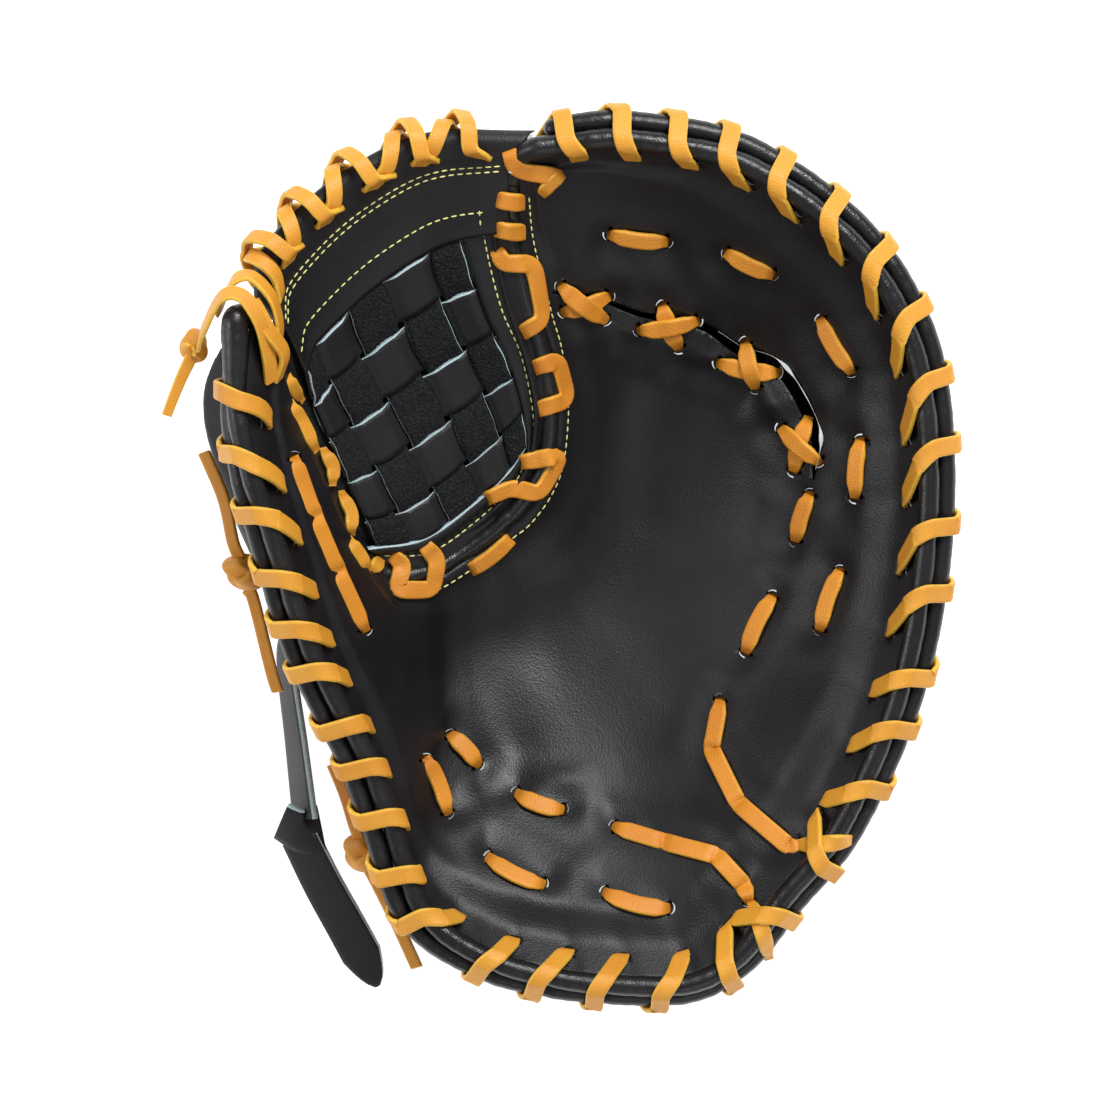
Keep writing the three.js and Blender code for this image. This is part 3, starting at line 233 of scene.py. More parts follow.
# Free ends of lace: the thumb's knot up and down, then the heel's
LACE_ENDS = (
    ((-0.068, 0.643, 0.780), (-0.041, 0.590, 0.763), (-0.028, 0.540, 0.737), (-0.018, 0.520, 0.725)),
    ((0.003, 0.460, 0.695), (0.012, 0.446, 0.695), (0.035, 0.365, 0.610), (0.044, 0.340, 0.585)),
    ((0.095, 0.289, 0.627), (0.112, 0.254, 0.602), (0.124, 0.220, 0.568), (0.132, 0.200, 0.542)),
    ((0.168, 0.130, 0.495), (0.181, 0.110, 0.480), (0.207, 0.066, 0.438), (0.238, 0.009, 0.390)),
)
# The strap's parts: width, its face's angle from upright at both ends, route
STRAP = {
    "band": (STRAP_WIDTH, (0.27, 0.55),
             ((0.061, 0.411, 0.441), (0.055, 0.381, 0.424), (0.068, 0.293, 0.398), (0.081, 0.200, 0.381))),
    "keeper": (1.1 * STRAP_WIDTH, (0.7, 1.1),
               ((0.060, 0.178, 0.375), (0.090, 0.166, 0.380), (0.118, 0.170, 0.370))),
    "tail": (STRAP_WIDTH, (1.1, 1.3),
             ((0.084, 0.176, 0.356), (0.116, 0.122, 0.333), (0.156, 0.062, 0.300), (0.196, 0.000, 0.263))),
}
KNOT_TURNS = {"thumb": -0.3, "heel": -0.5}
# Rows of stitches across the web: height and end, in shares
SEAM_ROWS = ((0.878, 1.0), (0.861, 1.0), (0.752, 0.945))
# Folds of the palm: from x y, to x y, rise in mm, reach in mm
CREASES = (
    (0.560, 0.260, 0.330, 0.200, 1.0, 6.0), (0.270, 0.320, 0.330, 0.220, -0.9, 5.0),
    (0.300, 0.250, 0.400, 0.200, -0.8, 5.0), (0.640, 0.300, 0.700, 0.200, -0.8, 6.0),
    (0.480, 0.215, 0.640, 0.200, -0.8, 5.0), (0.760, 0.310, 0.840, 0.240, 0.7, 7.0),
    (0.180, 0.420, 0.290, 0.330, -0.7, 7.0), (0.330, 0.420, 0.420, 0.330, 0.6, 9.0),
)
# The web's top band from the window up: share of its height, back and front over the web in mm
TOP_BAND = np.array([(0, 3.0, 4.7), (0.10, 1.6, 3.6), (0.33, 0.3, 2.7), (0.64, 0.3, 3.2), (0.73, -3.4, 3.8),
                     (0.88, -3.6, 3.9), (1, -1.6, 1.6)])
STITCHES = {"Spacing": 3.1 * MM, "Length": 2.3 * MM, "Thickness": 0.62 * MM}
# Area lights: place in metres, size in metres, power in watts
LIGHTS = {
    "key": ((0.46, 0.92, 1.42), (0.75, 0.5), 31),
    "side": ((-1.3, -0.1, 0.9), (0.6, 0.8), 8),
    "low": ((0.5, -1.4, 1.1), (1.2, 0.6), 4),
}
WORLD_STRENGTH = 0.32
# Leathers: name, colour, worn colour, roughness, grain's size and depth, bump's depth, sheen
LEATHERS = {
    "leather": ("Black leather", (0.0060, 0.0056, 0.0072), (0.011, 0.0105, 0.0125),
                0.42, 1300.0, 0.35, 0.00019, 0.36),
    "binding": ("Black binding leather", (0.0075, 0.0072, 0.0088), (0.012, 0.012, 0.014),
                0.34, 1500.0, 0.4, 0.00018, 0.45),
    "web": ("Black web leather", (0.0062, 0.0062, 0.0072), (0.010, 0.010, 0.0115),
            0.50, 1500.0, 0.5, 0.00022, 0.4),
    "cut": ("Cut leather edge", (0.50, 0.63, 0.68), (0.34, 0.46, 0.50), 0.85, 1800.0, 0.8, 0.0003, 0.5),
    "lining": ("Lining leather", (0.022, 0.021, 0.023), (0.034, 0.032, 0.035), 0.75, 900.0, 0.8, 0.0004, 0.5),
}
SUEDE = ("Black suede", (0.008, 0.0085, 0.009), (0.013, 0.0135, 0.0145), 0.95, 900.0, 1.2, 0.00038, 0.15)
SUEDE_NAP = (0.030, 0.0305, 0.0315, 1.0)
# Laces: name, colour, worn colour, cut edge's colour
LACES = {
    "lace": ("Tan lace", (0.70, 0.315, 0.027), (0.58, 0.215, 0.015), (0.80, 0.50, 0.050)),
    # The shaded-side lace is the tan lace made darker: painted shade for the knots and free ends that lie on
    # the mitt's shaded side
    "shaded_side_lace": ("Tan lace, shaded side", (0.64, 0.270, 0.027), (0.46, 0.16, 0.015), (0.60, 0.34, 0.05)),
    "palm_lace": ("Tan lace, oiled", (0.68, 0.262, 0.021), (0.57, 0.19, 0.013), (0.76, 0.40, 0.035)),
}


def smooth(x):
    x = np.clip(x, 0.0, 1.0)
    return x * x * (3.0 - 2.0 * x)


def blend(a, b, t):
    return a + (b - a) * t


def unit(v):
    return v / np.maximum(np.linalg.norm(v, axis=-1, keepdims=True), 1e-12)


def left_of(way):
    """The way to the left of each way, seen from above."""
    return np.stack([-way[..., 1], way[..., 0]], axis=-1)


def walked(line):
    """The distance along a line to each of its places."""
    return np.concatenate([[0], np.linalg.norm(np.diff(line, axis=0), axis=1).cumsum()])


def through(rows, t):
    """A smooth curve through evenly spaced rows, t from 0 to 1."""
    rows = np.asarray(rows, float)
    last = len(rows) - 1
    t = np.clip(np.asarray(t, float), 0.0, 1.0) * last
    i = np.minimum(t.astype(int), last - 1)
    f = (t - i)[..., None]
    padded = np.vstack([2 * rows[0] - rows[1], rows, 2 * rows[-1] - rows[-2]])
    p0, p1, p2, p3 = padded[i], padded[i + 1], padded[i + 2], padded[i + 3]
    bend = 2 * p0 - 5 * p1 + 4 * p2 - p3 + f * (3 * (p1 - p2) + p3 - p0)
    return p1 + 0.5 * f * (p2 - p0 + f * bend)


def place(rows):
    """Shares of the mitt's width, length and depth, as places in the row frame."""
    return np.asarray(rows, float) * SIZE + ORIGIN


# The leather's middle surface: u round the rim, v from the rim in to the notch
def middle(u, v):
    u, v = np.broadcast_arrays(np.asarray(u, float), np.asarray(v, float))
    row = through(SECTIONS, u)
    deepest = row[..., 7]
    warped = v * (1 - deepest) / np.maximum(v * (1 - deepest) + deepest * (1 - v), 1e-9)
    hollow = 1 - np.maximum(1 - np.sin(np.pi * np.clip(warped, 0, 1)), 0) ** SAG_FULLNESS
    point = blend(row[..., 0:3], row[..., 3:6], v[..., None]) * SIZE + ORIGIN
    point[..., 2] -= row[..., 6] * DEPTH * hollow
    return point


def surface_normal(u, v):
    u, v = np.broadcast_arrays(np.asarray(u, float), np.asarray(v, float))
    step = 0.002
    along = middle(np.minimum(1, u + step), v) - middle(np.maximum(0, u - step), v)
    across = middle(u, np.minimum(1, v + step)) - middle(u, np.maximum(0, v - step))
    normal = unit(np.cross(along, across))
    return np.where(normal[..., 2:] < 0, -normal, normal)


def inboard(u, distance):
    """The v at a distance in from the rim, measured on the middle surface."""
    u = np.atleast_1d(np.asarray(u, float))
    distance = np.broadcast_to(distance, u.shape)
    steps = np.arange(0, 0.91, 0.004)
    path = middle(u[:, None], steps[None, :])
    walked = np.linalg.norm(np.diff(path, axis=1), axis=2).cumsum(axis=1)
    walked = np.hstack([np.zeros((len(u), 1)), walked])
    return np.array([np.interp(d, w, steps) for d, w in zip(distance, walked)])


def inboard_of_notch(u, distance):
    """The v at a distance in from the notch's line."""
    u = np.atleast_1d(np.asarray(u, float))
    steps = 1 - np.arange(0, 0.5, 0.002)
    path = middle(u[:, None], steps[None, :])
    away = np.maximum.accumulate(np.linalg.norm(path - path[:, :1], axis=2), axis=1)
    return np.array([np.interp(distance, a, steps) for a in away])


def wrist_open(u):
    return smooth((u - WRIST_FROM) / WRIST_FADE) * smooth((WRIST_TO - u) / WRIST_FADE)


def room_at(u, v):
    """Clear height between palm and back, for a column of u and a grid of v."""
    row = through(SECTIONS, u)
    start = inboard(u, FLANGE)[:, None]
    end = inboard_of_notch(u, FLANGE * 0.5)[:, None]
    reach = np.minimum(row[:, 9:10], end)
    rise = blend(smooth((v - start) / (0.32 * (reach - start))), 1.0, wrist_open(u)[:, None])
    fall = smooth((reach - v) / (0.42 * (reach - start)))
    pocket = POCKET_ROOM * smooth((v - start) / 0.1) * smooth((end - v) / 0.1)
    return np.maximum(np.maximum(0, row[:, 8:9]) * HAND_ROOM * rise * fall, pocket)


def palm_wall(u, v, point):
    """Thickness of the palm with its pads and dents."""
    inner = smooth((v - inboard(u, FLANGE)[:, None]) / 0.08)
    inner = inner * smooth((inboard_of_notch(u, 8 * MM)[:, None] - v) / 0.08)
    bumps = np.zeros(v.shape)
    for x, y, reach, rise in PADS:
        dx = (point[..., 0] - ORIGIN[0] - x * WIDTH) / (reach * WIDTH)
        dy = (point[..., 1] - ORIGIN[1] - y * LENGTH) / (reach * WIDTH)
        bumps += rise * np.exp(-(dx * dx + dy * dy))
    return blend(WALL_RIM, WALL_PALM * (1 + bumps), inner)


def flat(rows):
    """Shares of the width and length, as places seen from above."""
    return place([(x, y, 0) for x, y in rows])[:, :2]


def slit_line(share):
    """Places along the slit's middle, the way to its left and its width there."""
    line = through(flat(SLIT), share)
    return line, left_of(unit(np.gradient(line, axis=0))), np.interp(share, *SLIT_WIDTHS) * MM


def line_distance(xy, corners):
    """Distance of places to a line of corners, the side they are on and the share along it."""
    best = np.full(xy.shape[:-1], 9.0)
    side = np.zeros(best.shape)
    where = np.zeros(best.shape)
    for k, (a, b) in enumerate(zip(corners[:-1], corners[1:])):
        way = b - a
        share = np.clip(((xy - a) @ way) / (way @ way), 0, 1)
        away = xy - a - share[..., None] * way
        near = np.linalg.norm(away, axis=-1)
        closer = near < best
        best = np.where(closer, near, best)
        side = np.where(closer, np.sign(away[..., 0] * -way[1] + away[..., 1] * way[0]), side)
        where = np.where(closer, (k + share) / (len(corners) - 1), where)
    return best, side, where


# The rim, by distance from the thumb's tip
RIM_U = np.linspace(0, 1, 601)
RIM_LINE = middle(RIM_U, 0.0)
RIM_WALK = walked(RIM_LINE)
RIM_LENGTH = RIM_WALK[-1]


def rim_at(distance):
    return np.interp(distance, RIM_WALK, RIM_U)


def rim_frame(u):
    """The rim's place, the palm's way up there and the way out of the mitt."""
    u = np.atleast_1d(np.asarray(u, float))
    step = 0.002
    along = unit(middle(np.minimum(1, u + step), 0.0) - middle(np.maximum(0, u - step), 0.0))
    normal = surface_normal(u, 0.004)
    outward = unit(np.cross(along, normal))
    inward = middle(u, 0.02) - middle(u, 0.0)
    turned = (outward * inward).sum(axis=-1, keepdims=True) > 0
    return middle(u, 0.0), normal, np.where(turned, -outward, outward)


def rim_holes():
    """Distances along the rim of all its holes, and of the places where the lace passes the edge."""
    turns = [turn for chains in RIM_TURNS.values() for chain in chains for turn in chain[:-1]]
    return np.array(turns).T * RIM_LENGTH


def bump(distance, reach):
    return np.exp(-(distance / reach) ** 2)


def relief(xy):
    """Height added to the palm's face where laces pull it in and where it folds."""
    added = np.zeros(xy.shape[:-1])
    for run in PALM_LACES[:-1] + SLIT_LACES:
        near, _, share = line_distance(xy, flat(run))
        pull = 0.7 + 0.3 * np.cos(2 * np.pi * share * (len(run) - 1))
        added -= LACE_DENT[0] * pull * bump(near, LACE_DENT[1])
        added += DENT_SWELL[0] * bump(near - DENT_SWELL[1], DENT_SWELL[2])
    for at in rim_at(rim_holes()[0]):
        ends = middle(at, np.array([inboard(at, 7 * MM)[0], inboard(at, 24 * MM)[0]]))[:, :2]
        near, _, share = line_distance(xy, ends)
        added -= HOLE_DENT[0] * (1 - 0.7 * share) * bump(near, HOLE_DENT[1])
    near, side, share = line_distance(xy, flat(SLIT))
    ends = smooth(share / 0.14) * smooth((1 - share) / 0.16)
    pressed, raised = -0.9 * MM * bump(near - 2 * MM, 8 * MM), 1.3 * MM * bump(near - 4 * MM, 7 * MM)
    added += np.where(side > 0, pressed, raised) * ends * smooth(near / (3.5 * MM))
    for x0, y0, x1, y1, depth, reach in CREASES:
        near, _, share = line_distance(xy, flat(((x0, y0), (x1, y1))))
        added += depth * MM * np.sin(np.pi * np.clip(share, 0.02, 0.98)) * bump(near, reach * MM)
    wave = np.sin(xy[..., 0] * 71 + 2.1 * np.sin(xy[..., 1] * 39)) * np.sin(xy[..., 1] * 83 + 1.3)
    return added + 0.28 * MM * wave


# Meshes
def put(name, data):
    """An object in the scene."""
    obj = bpy.data.objects.new(name, data)
    bpy.context.scene.collection.objects.link(obj)
    return obj


def bake(obj):
    """Makes what the modifiers give into the object's plain mesh."""
    graph = bpy.context.evaluated_depsgraph_get()
    mesh = bpy.data.meshes.new_from_object(obj.evaluated_get(graph), depsgraph=graph)
    obj.modifiers.clear()
    obj.data = mesh
    return obj


def corners_of(obj):
    corners = np.empty(len(obj.data.vertices) * 3)
    obj.data.vertices.foreach_get("co", corners)
    return corners.reshape(-1, 3)


def move_corners(obj, corners):
    obj.data.vertices.foreach_set("co", corners.ravel())
    obj.data.update()
    return obj


def grid_faces(rows, columns, offset=0, wrap=False):
    """Four-cornered faces of a grid of rows by columns of corners."""
    r, c = np.meshgrid(np.arange(rows - 1), np.arange(columns if wrap else columns - 1), indexing="ij")
    following = (c + 1) % columns
    quads = [r * columns + c, r * columns + following, (r + 1) * columns + following, (r + 1) * columns + c]
    return np.stack(quads, axis=-1).reshape(-1, 4) + offset


def new_object(name, points, faces, materials, slots=None, shaded=True):
    """A mesh object whose closed faces look outward."""
    mesh = bpy.data.meshes.new(name)
    mesh.from_pydata(np.asarray(points).reshape(-1, 3).tolist(), [], [list(map(int, f)) for f in faces])
    for material in materials:
        mesh.materials.append(material)
    if slots is not None:
        mesh.polygons.foreach_set("material_index", np.asarray(slots, dtype=np.int32))
    work = bmesh.new()
    work.from_mesh(mesh)
    bmesh.ops.recalc_face_normals(work, faces=work.faces)
    work.to_mesh(mesh)
    work.free()
    mesh.polygons.foreach_set("use_smooth", np.full(len(mesh.polygons), shaded))
    return put(name, mesh)


def closed_sheet(top, bottom, edge=(1, 1, 1, 1)):
    """Corners, faces and slots of a sheet between two grids; edge gives its four borders' slots:
    first row, last column, last row, first column."""
    rows, columns = top.shape[:2]
    count = rows * columns
    faces = [grid_faces(rows, columns), grid_faces(rows, columns, count)[:, ::-1]]
    r, c = np.arange(rows), np.arange(columns)
    border = np.concatenate([c, (r * columns + columns - 1)[1:], ((rows - 1) * columns + c[::-1])[1:],
                             (r[::-1] * columns)[1:-1]])
    after = np.roll(border, -1)
    faces.append(np.stack([after, border, border + count, after + count], axis=1))
    border_slots = np.repeat(edge, (columns - 1, rows - 1, columns - 1, rows - 1))
    slots = np.concatenate([np.zeros(len(faces[0]) + len(faces[1])), border_slots])
    return np.concatenate([top.reshape(-1, 3), bottom.reshape(-1, 3)]), np.concatenate(faces), slots


def sheet_object(name, top, bottom, materials, edge=(1, 1, 1, 1)):
    points, faces, slots = closed_sheet(top, bottom, edge)
    return new_object(name, points, faces, materials, slots)


def merged(name, parts, materials):
    """One object of several lists of corners, faces and slots."""
    points, faces, slots, count = [], [], [], 0
    for part_points, part_faces, part_slots in parts:
        points.append(part_points)
        faces.append(np.asarray(part_faces) + count)
        slots.append(part_slots)
        count += len(part_points)
    return new_object(name, np.concatenate(points), np.concatenate(faces), materials, np.concatenate(slots))


def tube_object(name, line, normals, radii, material):
    """A round binding along a line, with a radius at each place and each side."""
    sides = radii.shape[1]
    tangent = unit(np.gradient(line, axis=0))
    across = unit(np.cross(tangent, normals))
    up = np.cross(across, tangent)
    turn = 2 * np.pi * np.arange(sides) / sides
    ring = np.cos(turn)[None, :, None] * across[:, None] + np.sin(turn)[None, :, None] * up[:, None]
    points = line[:, None] + ring * radii[..., None]
    faces = grid_faces(len(line), sides, wrap=True).tolist()
    last = (len(line) - 1) * sides
    faces.append(list(range(sides - 1, -1, -1)))
    faces.append(list(range(last, last + sides)))
    return new_object(name, points, faces, [material])


def prism(first, second):
    """Corners and faces of a prism between two outlines."""
    count = len(first)
    faces = [[k, (k + 1) % count, count + (k + 1) % count, count + k] for k in range(count)]
    faces += [list(range(count - 1, -1, -1)), list(range(count, 2 * count))]
    return np.concatenate([first, second]), faces


def slot_cutter(centre, along, normal, size, deep):
    """An oval prism, long and wide by its size, that goes through the leather along its normal."""
    long, wide = size
    square = np.cross(normal, along)
    turn = 2 * np.pi * np.arange(12) / 12
    ring = np.cos(turn)[:, None] * along * long / 2 + np.sin(turn)[:, None] * square * wide / 2
    return prism(centre + ring + normal * deep, centre + ring - normal * deep)


def cutters_object(name, cutters, material):
    points, faces, count = [], [], 0
    for part_points, part_faces in cutters:
        points.append(part_points)
        faces += [[corner + count for corner in face] for face in part_faces]
        count += len(part_points)
    return new_object(name, np.concatenate(points), faces, [material], shaded=False)


def cut_away(obj, cutter):
    """Takes the cutter out of a piece for good; the cut keeps the cutter's material."""
    modifier = obj.modifiers.new("cut", "BOOLEAN")
    modifier.operation = "DIFFERENCE"
    modifier.solver = "MANIFOLD"
    modifier.object = cutter
    return bake(obj)


# Node trees
def new_tree(name, kind, inputs, outputs):
    """An empty tree with named sockets, its input node and its output node."""
    tree = bpy.data.node_groups.new(name, kind)
    for way, sockets in (("INPUT", inputs), ("OUTPUT", outputs)):
        for label, socket in sockets.items():
            tree.interface.new_socket(label, in_out=way, socket_type="NodeSocket" + socket)
    return tree, node(tree, "NodeGroupInput"), node(tree, "NodeGroupOutput")


def node(tree, kind, values=None, **settings):
    """A node with its inputs' values and its own settings."""
    made = tree.nodes.new(kind)
    for key, value in settings.items():
        setattr(made, key, value)
    for key, value in (values or {}).items():
        made.inputs[key].default_value = value
    return made


def link(tree, *pairs):
    for start, end in pairs:
        tree.links.new(start, end)


def math_node(tree, operation, a, b):
    """One operation on sockets or numbers; gives the result's socket."""
    made = node(tree, "ShaderNodeMath", operation=operation)
    for k, value in enumerate((a, b)):
        if isinstance(value, (int, float)):
            made.inputs[k].default_value = value
        else:
            tree.links.new(value, made.inputs[k])
    return made.outputs[0]


def lace_band_tree():
    """A flat lace with rounded edges along a line that carries the way its face looks."""
    sizes = {"Width": "Float", "Thickness": "Float", "Rounding": "Float"}
    tree, start, end = new_tree("Lace band", "GeometryNodeTree",
                                {"Geometry": "Geometry", **sizes, "Material": "Material"},
                                {"Geometry": "Geometry"})
    line = node(tree, "GeometryNodeMeshToCurve")
    facing = node(tree, "GeometryNodeInputNamedAttribute", {"Name": "up"}, data_type="FLOAT_VECTOR")
    turned = node(tree, "GeometryNodeSetCurveNormal", mode="FREE")
    outline = node(tree, "GeometryNodeCurvePrimitiveQuadrilateral")
    rounded = node(tree, "GeometryNodeFilletCurve", {"Count": 3}, mode="POLY")
    fine = node(tree, "GeometryNodeResampleCurve", {"Count": 26})
    where = node(tree, "GeometryNodeInputPosition")
    parts = node(tree, "ShaderNodeSeparateXYZ")
    edge = node(tree, "GeometryNodeStoreNamedAttribute", {"Name": "cut_edge"}, data_type="FLOAT",
                domain="POINT")
    girth = node(tree, "GeometryNodeInputNamedAttribute", {"Name": "girth"}, data_type="FLOAT")
    swept = node(tree, "GeometryNodeCurveToMesh", {"Fill Caps": True})
    shade = node(tree, "GeometryNodeSetShadeSmooth")
    dressed = node(tree, "GeometryNodeSetMaterial")
    near = math_node(tree, "ABSOLUTE", parts.outputs["Y"], 0.0)
    share = math_node(tree, "GREATER_THAN", math_node(tree, "DIVIDE", near, start.outputs["Width"]), 0.44)
    link(tree,
         (start.outputs["Geometry"], line.inputs[0]), (line.outputs[0], turned.inputs["Curve"]),
         (facing.outputs[0], turned.inputs["Normal"]), (start.outputs["Thickness"], outline.inputs["Width"]),
         (start.outputs["Width"], outline.inputs["Height"]), (outline.outputs[0], rounded.inputs["Curve"]),
         (start.outputs["Rounding"], rounded.inputs["Radius"]), (rounded.outputs[0], fine.inputs["Curve"]),
         (where.outputs[0], parts.inputs[0]), (fine.outputs[0], edge.inputs["Geometry"]),
         (share, edge.inputs["Value"]), (turned.outputs[0], swept.inputs["Curve"]),
         (edge.outputs[0], swept.inputs["Profile Curve"]), (girth.outputs[0], swept.inputs["Scale"]),
         (swept.outputs[0], shade.inputs[0]), (shade.outputs[0], dressed.inputs["Geometry"]),
         (start.outputs["Material"], dressed.inputs["Material"]), (dressed.outputs[0], end.inputs[0]))
    return tree


def stitch_tree():
    """Short rounded stitches, evenly spaced along a line."""
    sizes = {"Spacing": "Float", "Length": "Float", "Thickness": "Float"}
    tree, start, end = new_tree("Stitches", "GeometryNodeTree",
                                {"Geometry": "Geometry", **sizes, "Material": "Material"},
                                {"Geometry": "Geometry"})
    line = node(tree, "GeometryNodeMeshToCurve")
    places = node(tree, "GeometryNodeCurveToPoints", mode="LENGTH")
    along = node(tree, "FunctionNodeAlignRotationToVector", axis="Z")
    ball = node(tree, "GeometryNodeMeshUVSphere", {"Segments": 6, "Rings": 5, "Radius": 0.5})
    size = node(tree, "ShaderNodeCombineXYZ")
    stitch = node(tree, "GeometryNodeTransform")
    spread = node(tree, "GeometryNodeInstanceOnPoints")
    real = node(tree, "GeometryNodeRealizeInstances")
    shade = node(tree, "GeometryNodeSetShadeSmooth")
    dressed = node(tree, "GeometryNodeSetMaterial")
    link(tree,
         (start.outputs["Geometry"], line.inputs[0]), (line.outputs[0], places.inputs["Curve"]),
         (start.outputs["Spacing"], places.inputs["Length"]),
         (places.outputs["Tangent"], along.inputs["Vector"]),
         (start.outputs["Thickness"], size.inputs["X"]), (start.outputs["Thickness"], size.inputs["Y"]),
         (start.outputs["Length"], size.inputs["Z"]), (ball.outputs[0], stitch.inputs["Geometry"]),
         (size.outputs[0], stitch.inputs["Scale"]), (places.outputs["Points"], spread.inputs["Points"]),
         (stitch.outputs[0], spread.inputs["Instance"]), (along.outputs[0], spread.inputs["Rotation"]),
         (spread.outputs[0], real.inputs[0]), (real.outputs[0], shade.inputs[0]),
         (shade.outputs[0], dressed.inputs["Geometry"]),
         (start.outputs["Material"], dressed.inputs["Material"]), (dressed.outputs[0], end.inputs[0]))
    return tree


def grown(name, lines, ups, tree, values, girths=None):
    """The plain mesh that a tree makes from lines; values are its named inputs."""
    points, edges, count = [], [], 0
    for line in lines:
        points.append(line)
        edges += [(count + k, count + k + 1) for k in range(len(line) - 1)]
        count += len(line)
    mesh = bpy.data.meshes.new(name)
    mesh.from_pydata(np.concatenate(points).tolist(), edges, [])
    if ups is not None:
        facing = mesh.attributes.new("up", "FLOAT_VECTOR", "POINT")
        facing.data.foreach_set("vector", np.concatenate(ups).astype(np.float32).ravel())
        girth = mesh.attributes.new("girth", "FLOAT", "POINT")
        shares = np.concatenate(girths) if girths else np.ones(count)
        girth.data.foreach_set("value", shares.astype(np.float32))
    obj = put(name, mesh)
    modifier = obj.modifiers.new("grown", "NODES")
    modifier.node_group = tree
    for item in tree.interface.items_tree:
        if item.in_out == "INPUT" and item.name in values:
            modifier[item.identifier] = values[item.name]
    return bake(obj)


def lace_object(name, lines, ups, width=LACE_WIDTH, thickness=LACE_THICKNESS, material=None, girths=None):
    """Laces along lines whose faces look the ways in ups; a girth scales one at each place."""
    values = {"Width": width, "Thickness": thickness, "Rounding": 0.3 * thickness,
              "Material": material or MATERIALS["lace"]}
    return grown(name, lines, ups, TREES["lace"], values, girths)


# Materials
def grain_group():
    """Leather grain: fine cells, soft creases and uneven sheen, for the Principled shader's sockets."""
    tree, start, end = new_tree("Leather grain", "ShaderNodeTree",
                                {"Color": "Color", "Worn color": "Color", "Grain size": "Float",
                                 "Grain depth": "Float", "Roughness": "Float"},
                                {"Base Color": "Color", "Roughness": "Float", "Height": "Float"})
    where = node(tree, "ShaderNodeTexCoord")
    cells = node(tree, "ShaderNodeTexVoronoi", feature="F1")
    fine = node(tree, "ShaderNodeTexNoise", {"Scale": 2600.0, "Detail": 3.0})
    folds = node(tree, "ShaderNodeTexNoise", {"Scale": 75.0, "Detail": 5.0, "Distortion": 0.8})
    patches = node(tree, "ShaderNodeTexNoise", {"Scale": 24.0, "Detail": 3.0})
    worn = node(tree, "ShaderNodeMapRange", {"From Min": 0.45, "From Max": 0.75})
    tint = node(tree, "ShaderNodeMix", data_type="RGBA")
    rough = node(tree, "ShaderNodeMapRange",
                 {"From Min": 0.3, "From Max": 0.7, "To Min": -0.06, "To Max": 0.07})
    patterns = (cells, fine, folds, patches)
    link(tree, *[(where.outputs["Object"], pattern.inputs["Vector"]) for pattern in patterns])
    link(tree,
         (start.outputs["Grain size"], cells.inputs["Scale"]), (patches.outputs["Fac"], worn.inputs["Value"]),
         (worn.outputs["Result"], tint.inputs["Factor"]), (start.outputs["Color"], tint.inputs["A"]),
         (start.outputs["Worn color"], tint.inputs["B"]), (tint.outputs["Result"], end.inputs["Base Color"]),
         (patches.outputs["Fac"], rough.inputs["Value"]))
    height = math_node(tree, "MULTIPLY", cells.outputs["Distance"], start.outputs["Grain depth"])
    height = math_node(tree, "ADD", height, math_node(tree, "MULTIPLY", fine.outputs["Fac"], 0.25))
    height = math_node(tree, "ADD", height, math_node(tree, "MULTIPLY", folds.outputs["Fac"], 0.6))
    roughness = math_node(tree, "ADD", start.outputs["Roughness"], rough.outputs["Result"])
    link(tree, (height, end.inputs["Height"]), (roughness, end.inputs["Roughness"]))
    return tree


def new_material(name, color, roughness):
    material = bpy.data.materials.new(name)
    material.use_nodes = True
    shader = material.node_tree.nodes["Principled BSDF"]
    shader.inputs["Base Color"].default_value = (*color, 1.0)
    shader.inputs["Roughness"].default_value = roughness
    material.diffuse_color = (*color, 1.0)
    return material, material.node_tree, shader


def leather_material(group, name, color, worn, roughness, grain, depth, bump_depth, specular):
    """Grained leather; gives the material, its tree, its shader and its grain's node."""
    material, tree, shader = new_material(name, color, roughness)
    look = node(tree, "ShaderNodeGroup", node_tree=group)
    values = {"Color": (*color, 1.0), "Worn color": (*worn, 1.0), "Roughness": roughness,
              "Grain size": grain, "Grain depth": depth}
    for label, value in values.items():
        look.inputs[label].default_value = value
    raised = node(tree, "ShaderNodeBump", {"Strength": 1.0, "Distance": bump_depth})
    shader.inputs["Specular IOR Level"].default_value = specular
    link(tree, (look.outputs["Base Color"], shader.inputs["Base Color"]),
         (look.outputs["Roughness"], shader.inputs["Roughness"]),
         (look.outputs["Height"], raised.inputs["Height"]), (raised.outputs[0], shader.inputs["Normal"]))
    return material, tree, shader, look


def lace_material(group, name, face, worn, edge_color):
    """Tan lace: a smooth dyed face, paler cut edges, small dark fibres."""
    material, tree, shader, look = leather_material(group, name, face, worn, 0.5, 1500.0, 0.5, 0.00025, 0.5)
    edge = node(tree, "ShaderNodeAttribute", attribute_name="cut_edge")
    where = node(tree, "ShaderNodeTexCoord")
    fibres = node(tree, "ShaderNodeTexNoise", {"Scale": 420.0, "Detail": 4.0})
    spread = node(tree, "ShaderNodeMapRange",
                  {"From Min": 0.3, "From Max": 0.75, "To Min": 0.55, "To Max": 1.0})
    share = node(tree, "ShaderNodeMath", operation="MULTIPLY")
    tint = node(tree, "ShaderNodeMix", data_type="RGBA")
    tint.inputs["B"].default_value = (*edge_color, 1.0)
    link(tree, (where.outputs["Object"], fibres.inputs["Vector"]),
         (fibres.outputs["Fac"], spread.inputs["Value"]), (spread.outputs["Result"], share.inputs[0]),
         (edge.outputs["Fac"], share.inputs[1]), (share.outputs[0], tint.inputs["Factor"]),
         (look.outputs["Base Color"], tint.inputs["A"]),
         (tint.outputs["Result"], shader.inputs["Base Color"]))
    return material


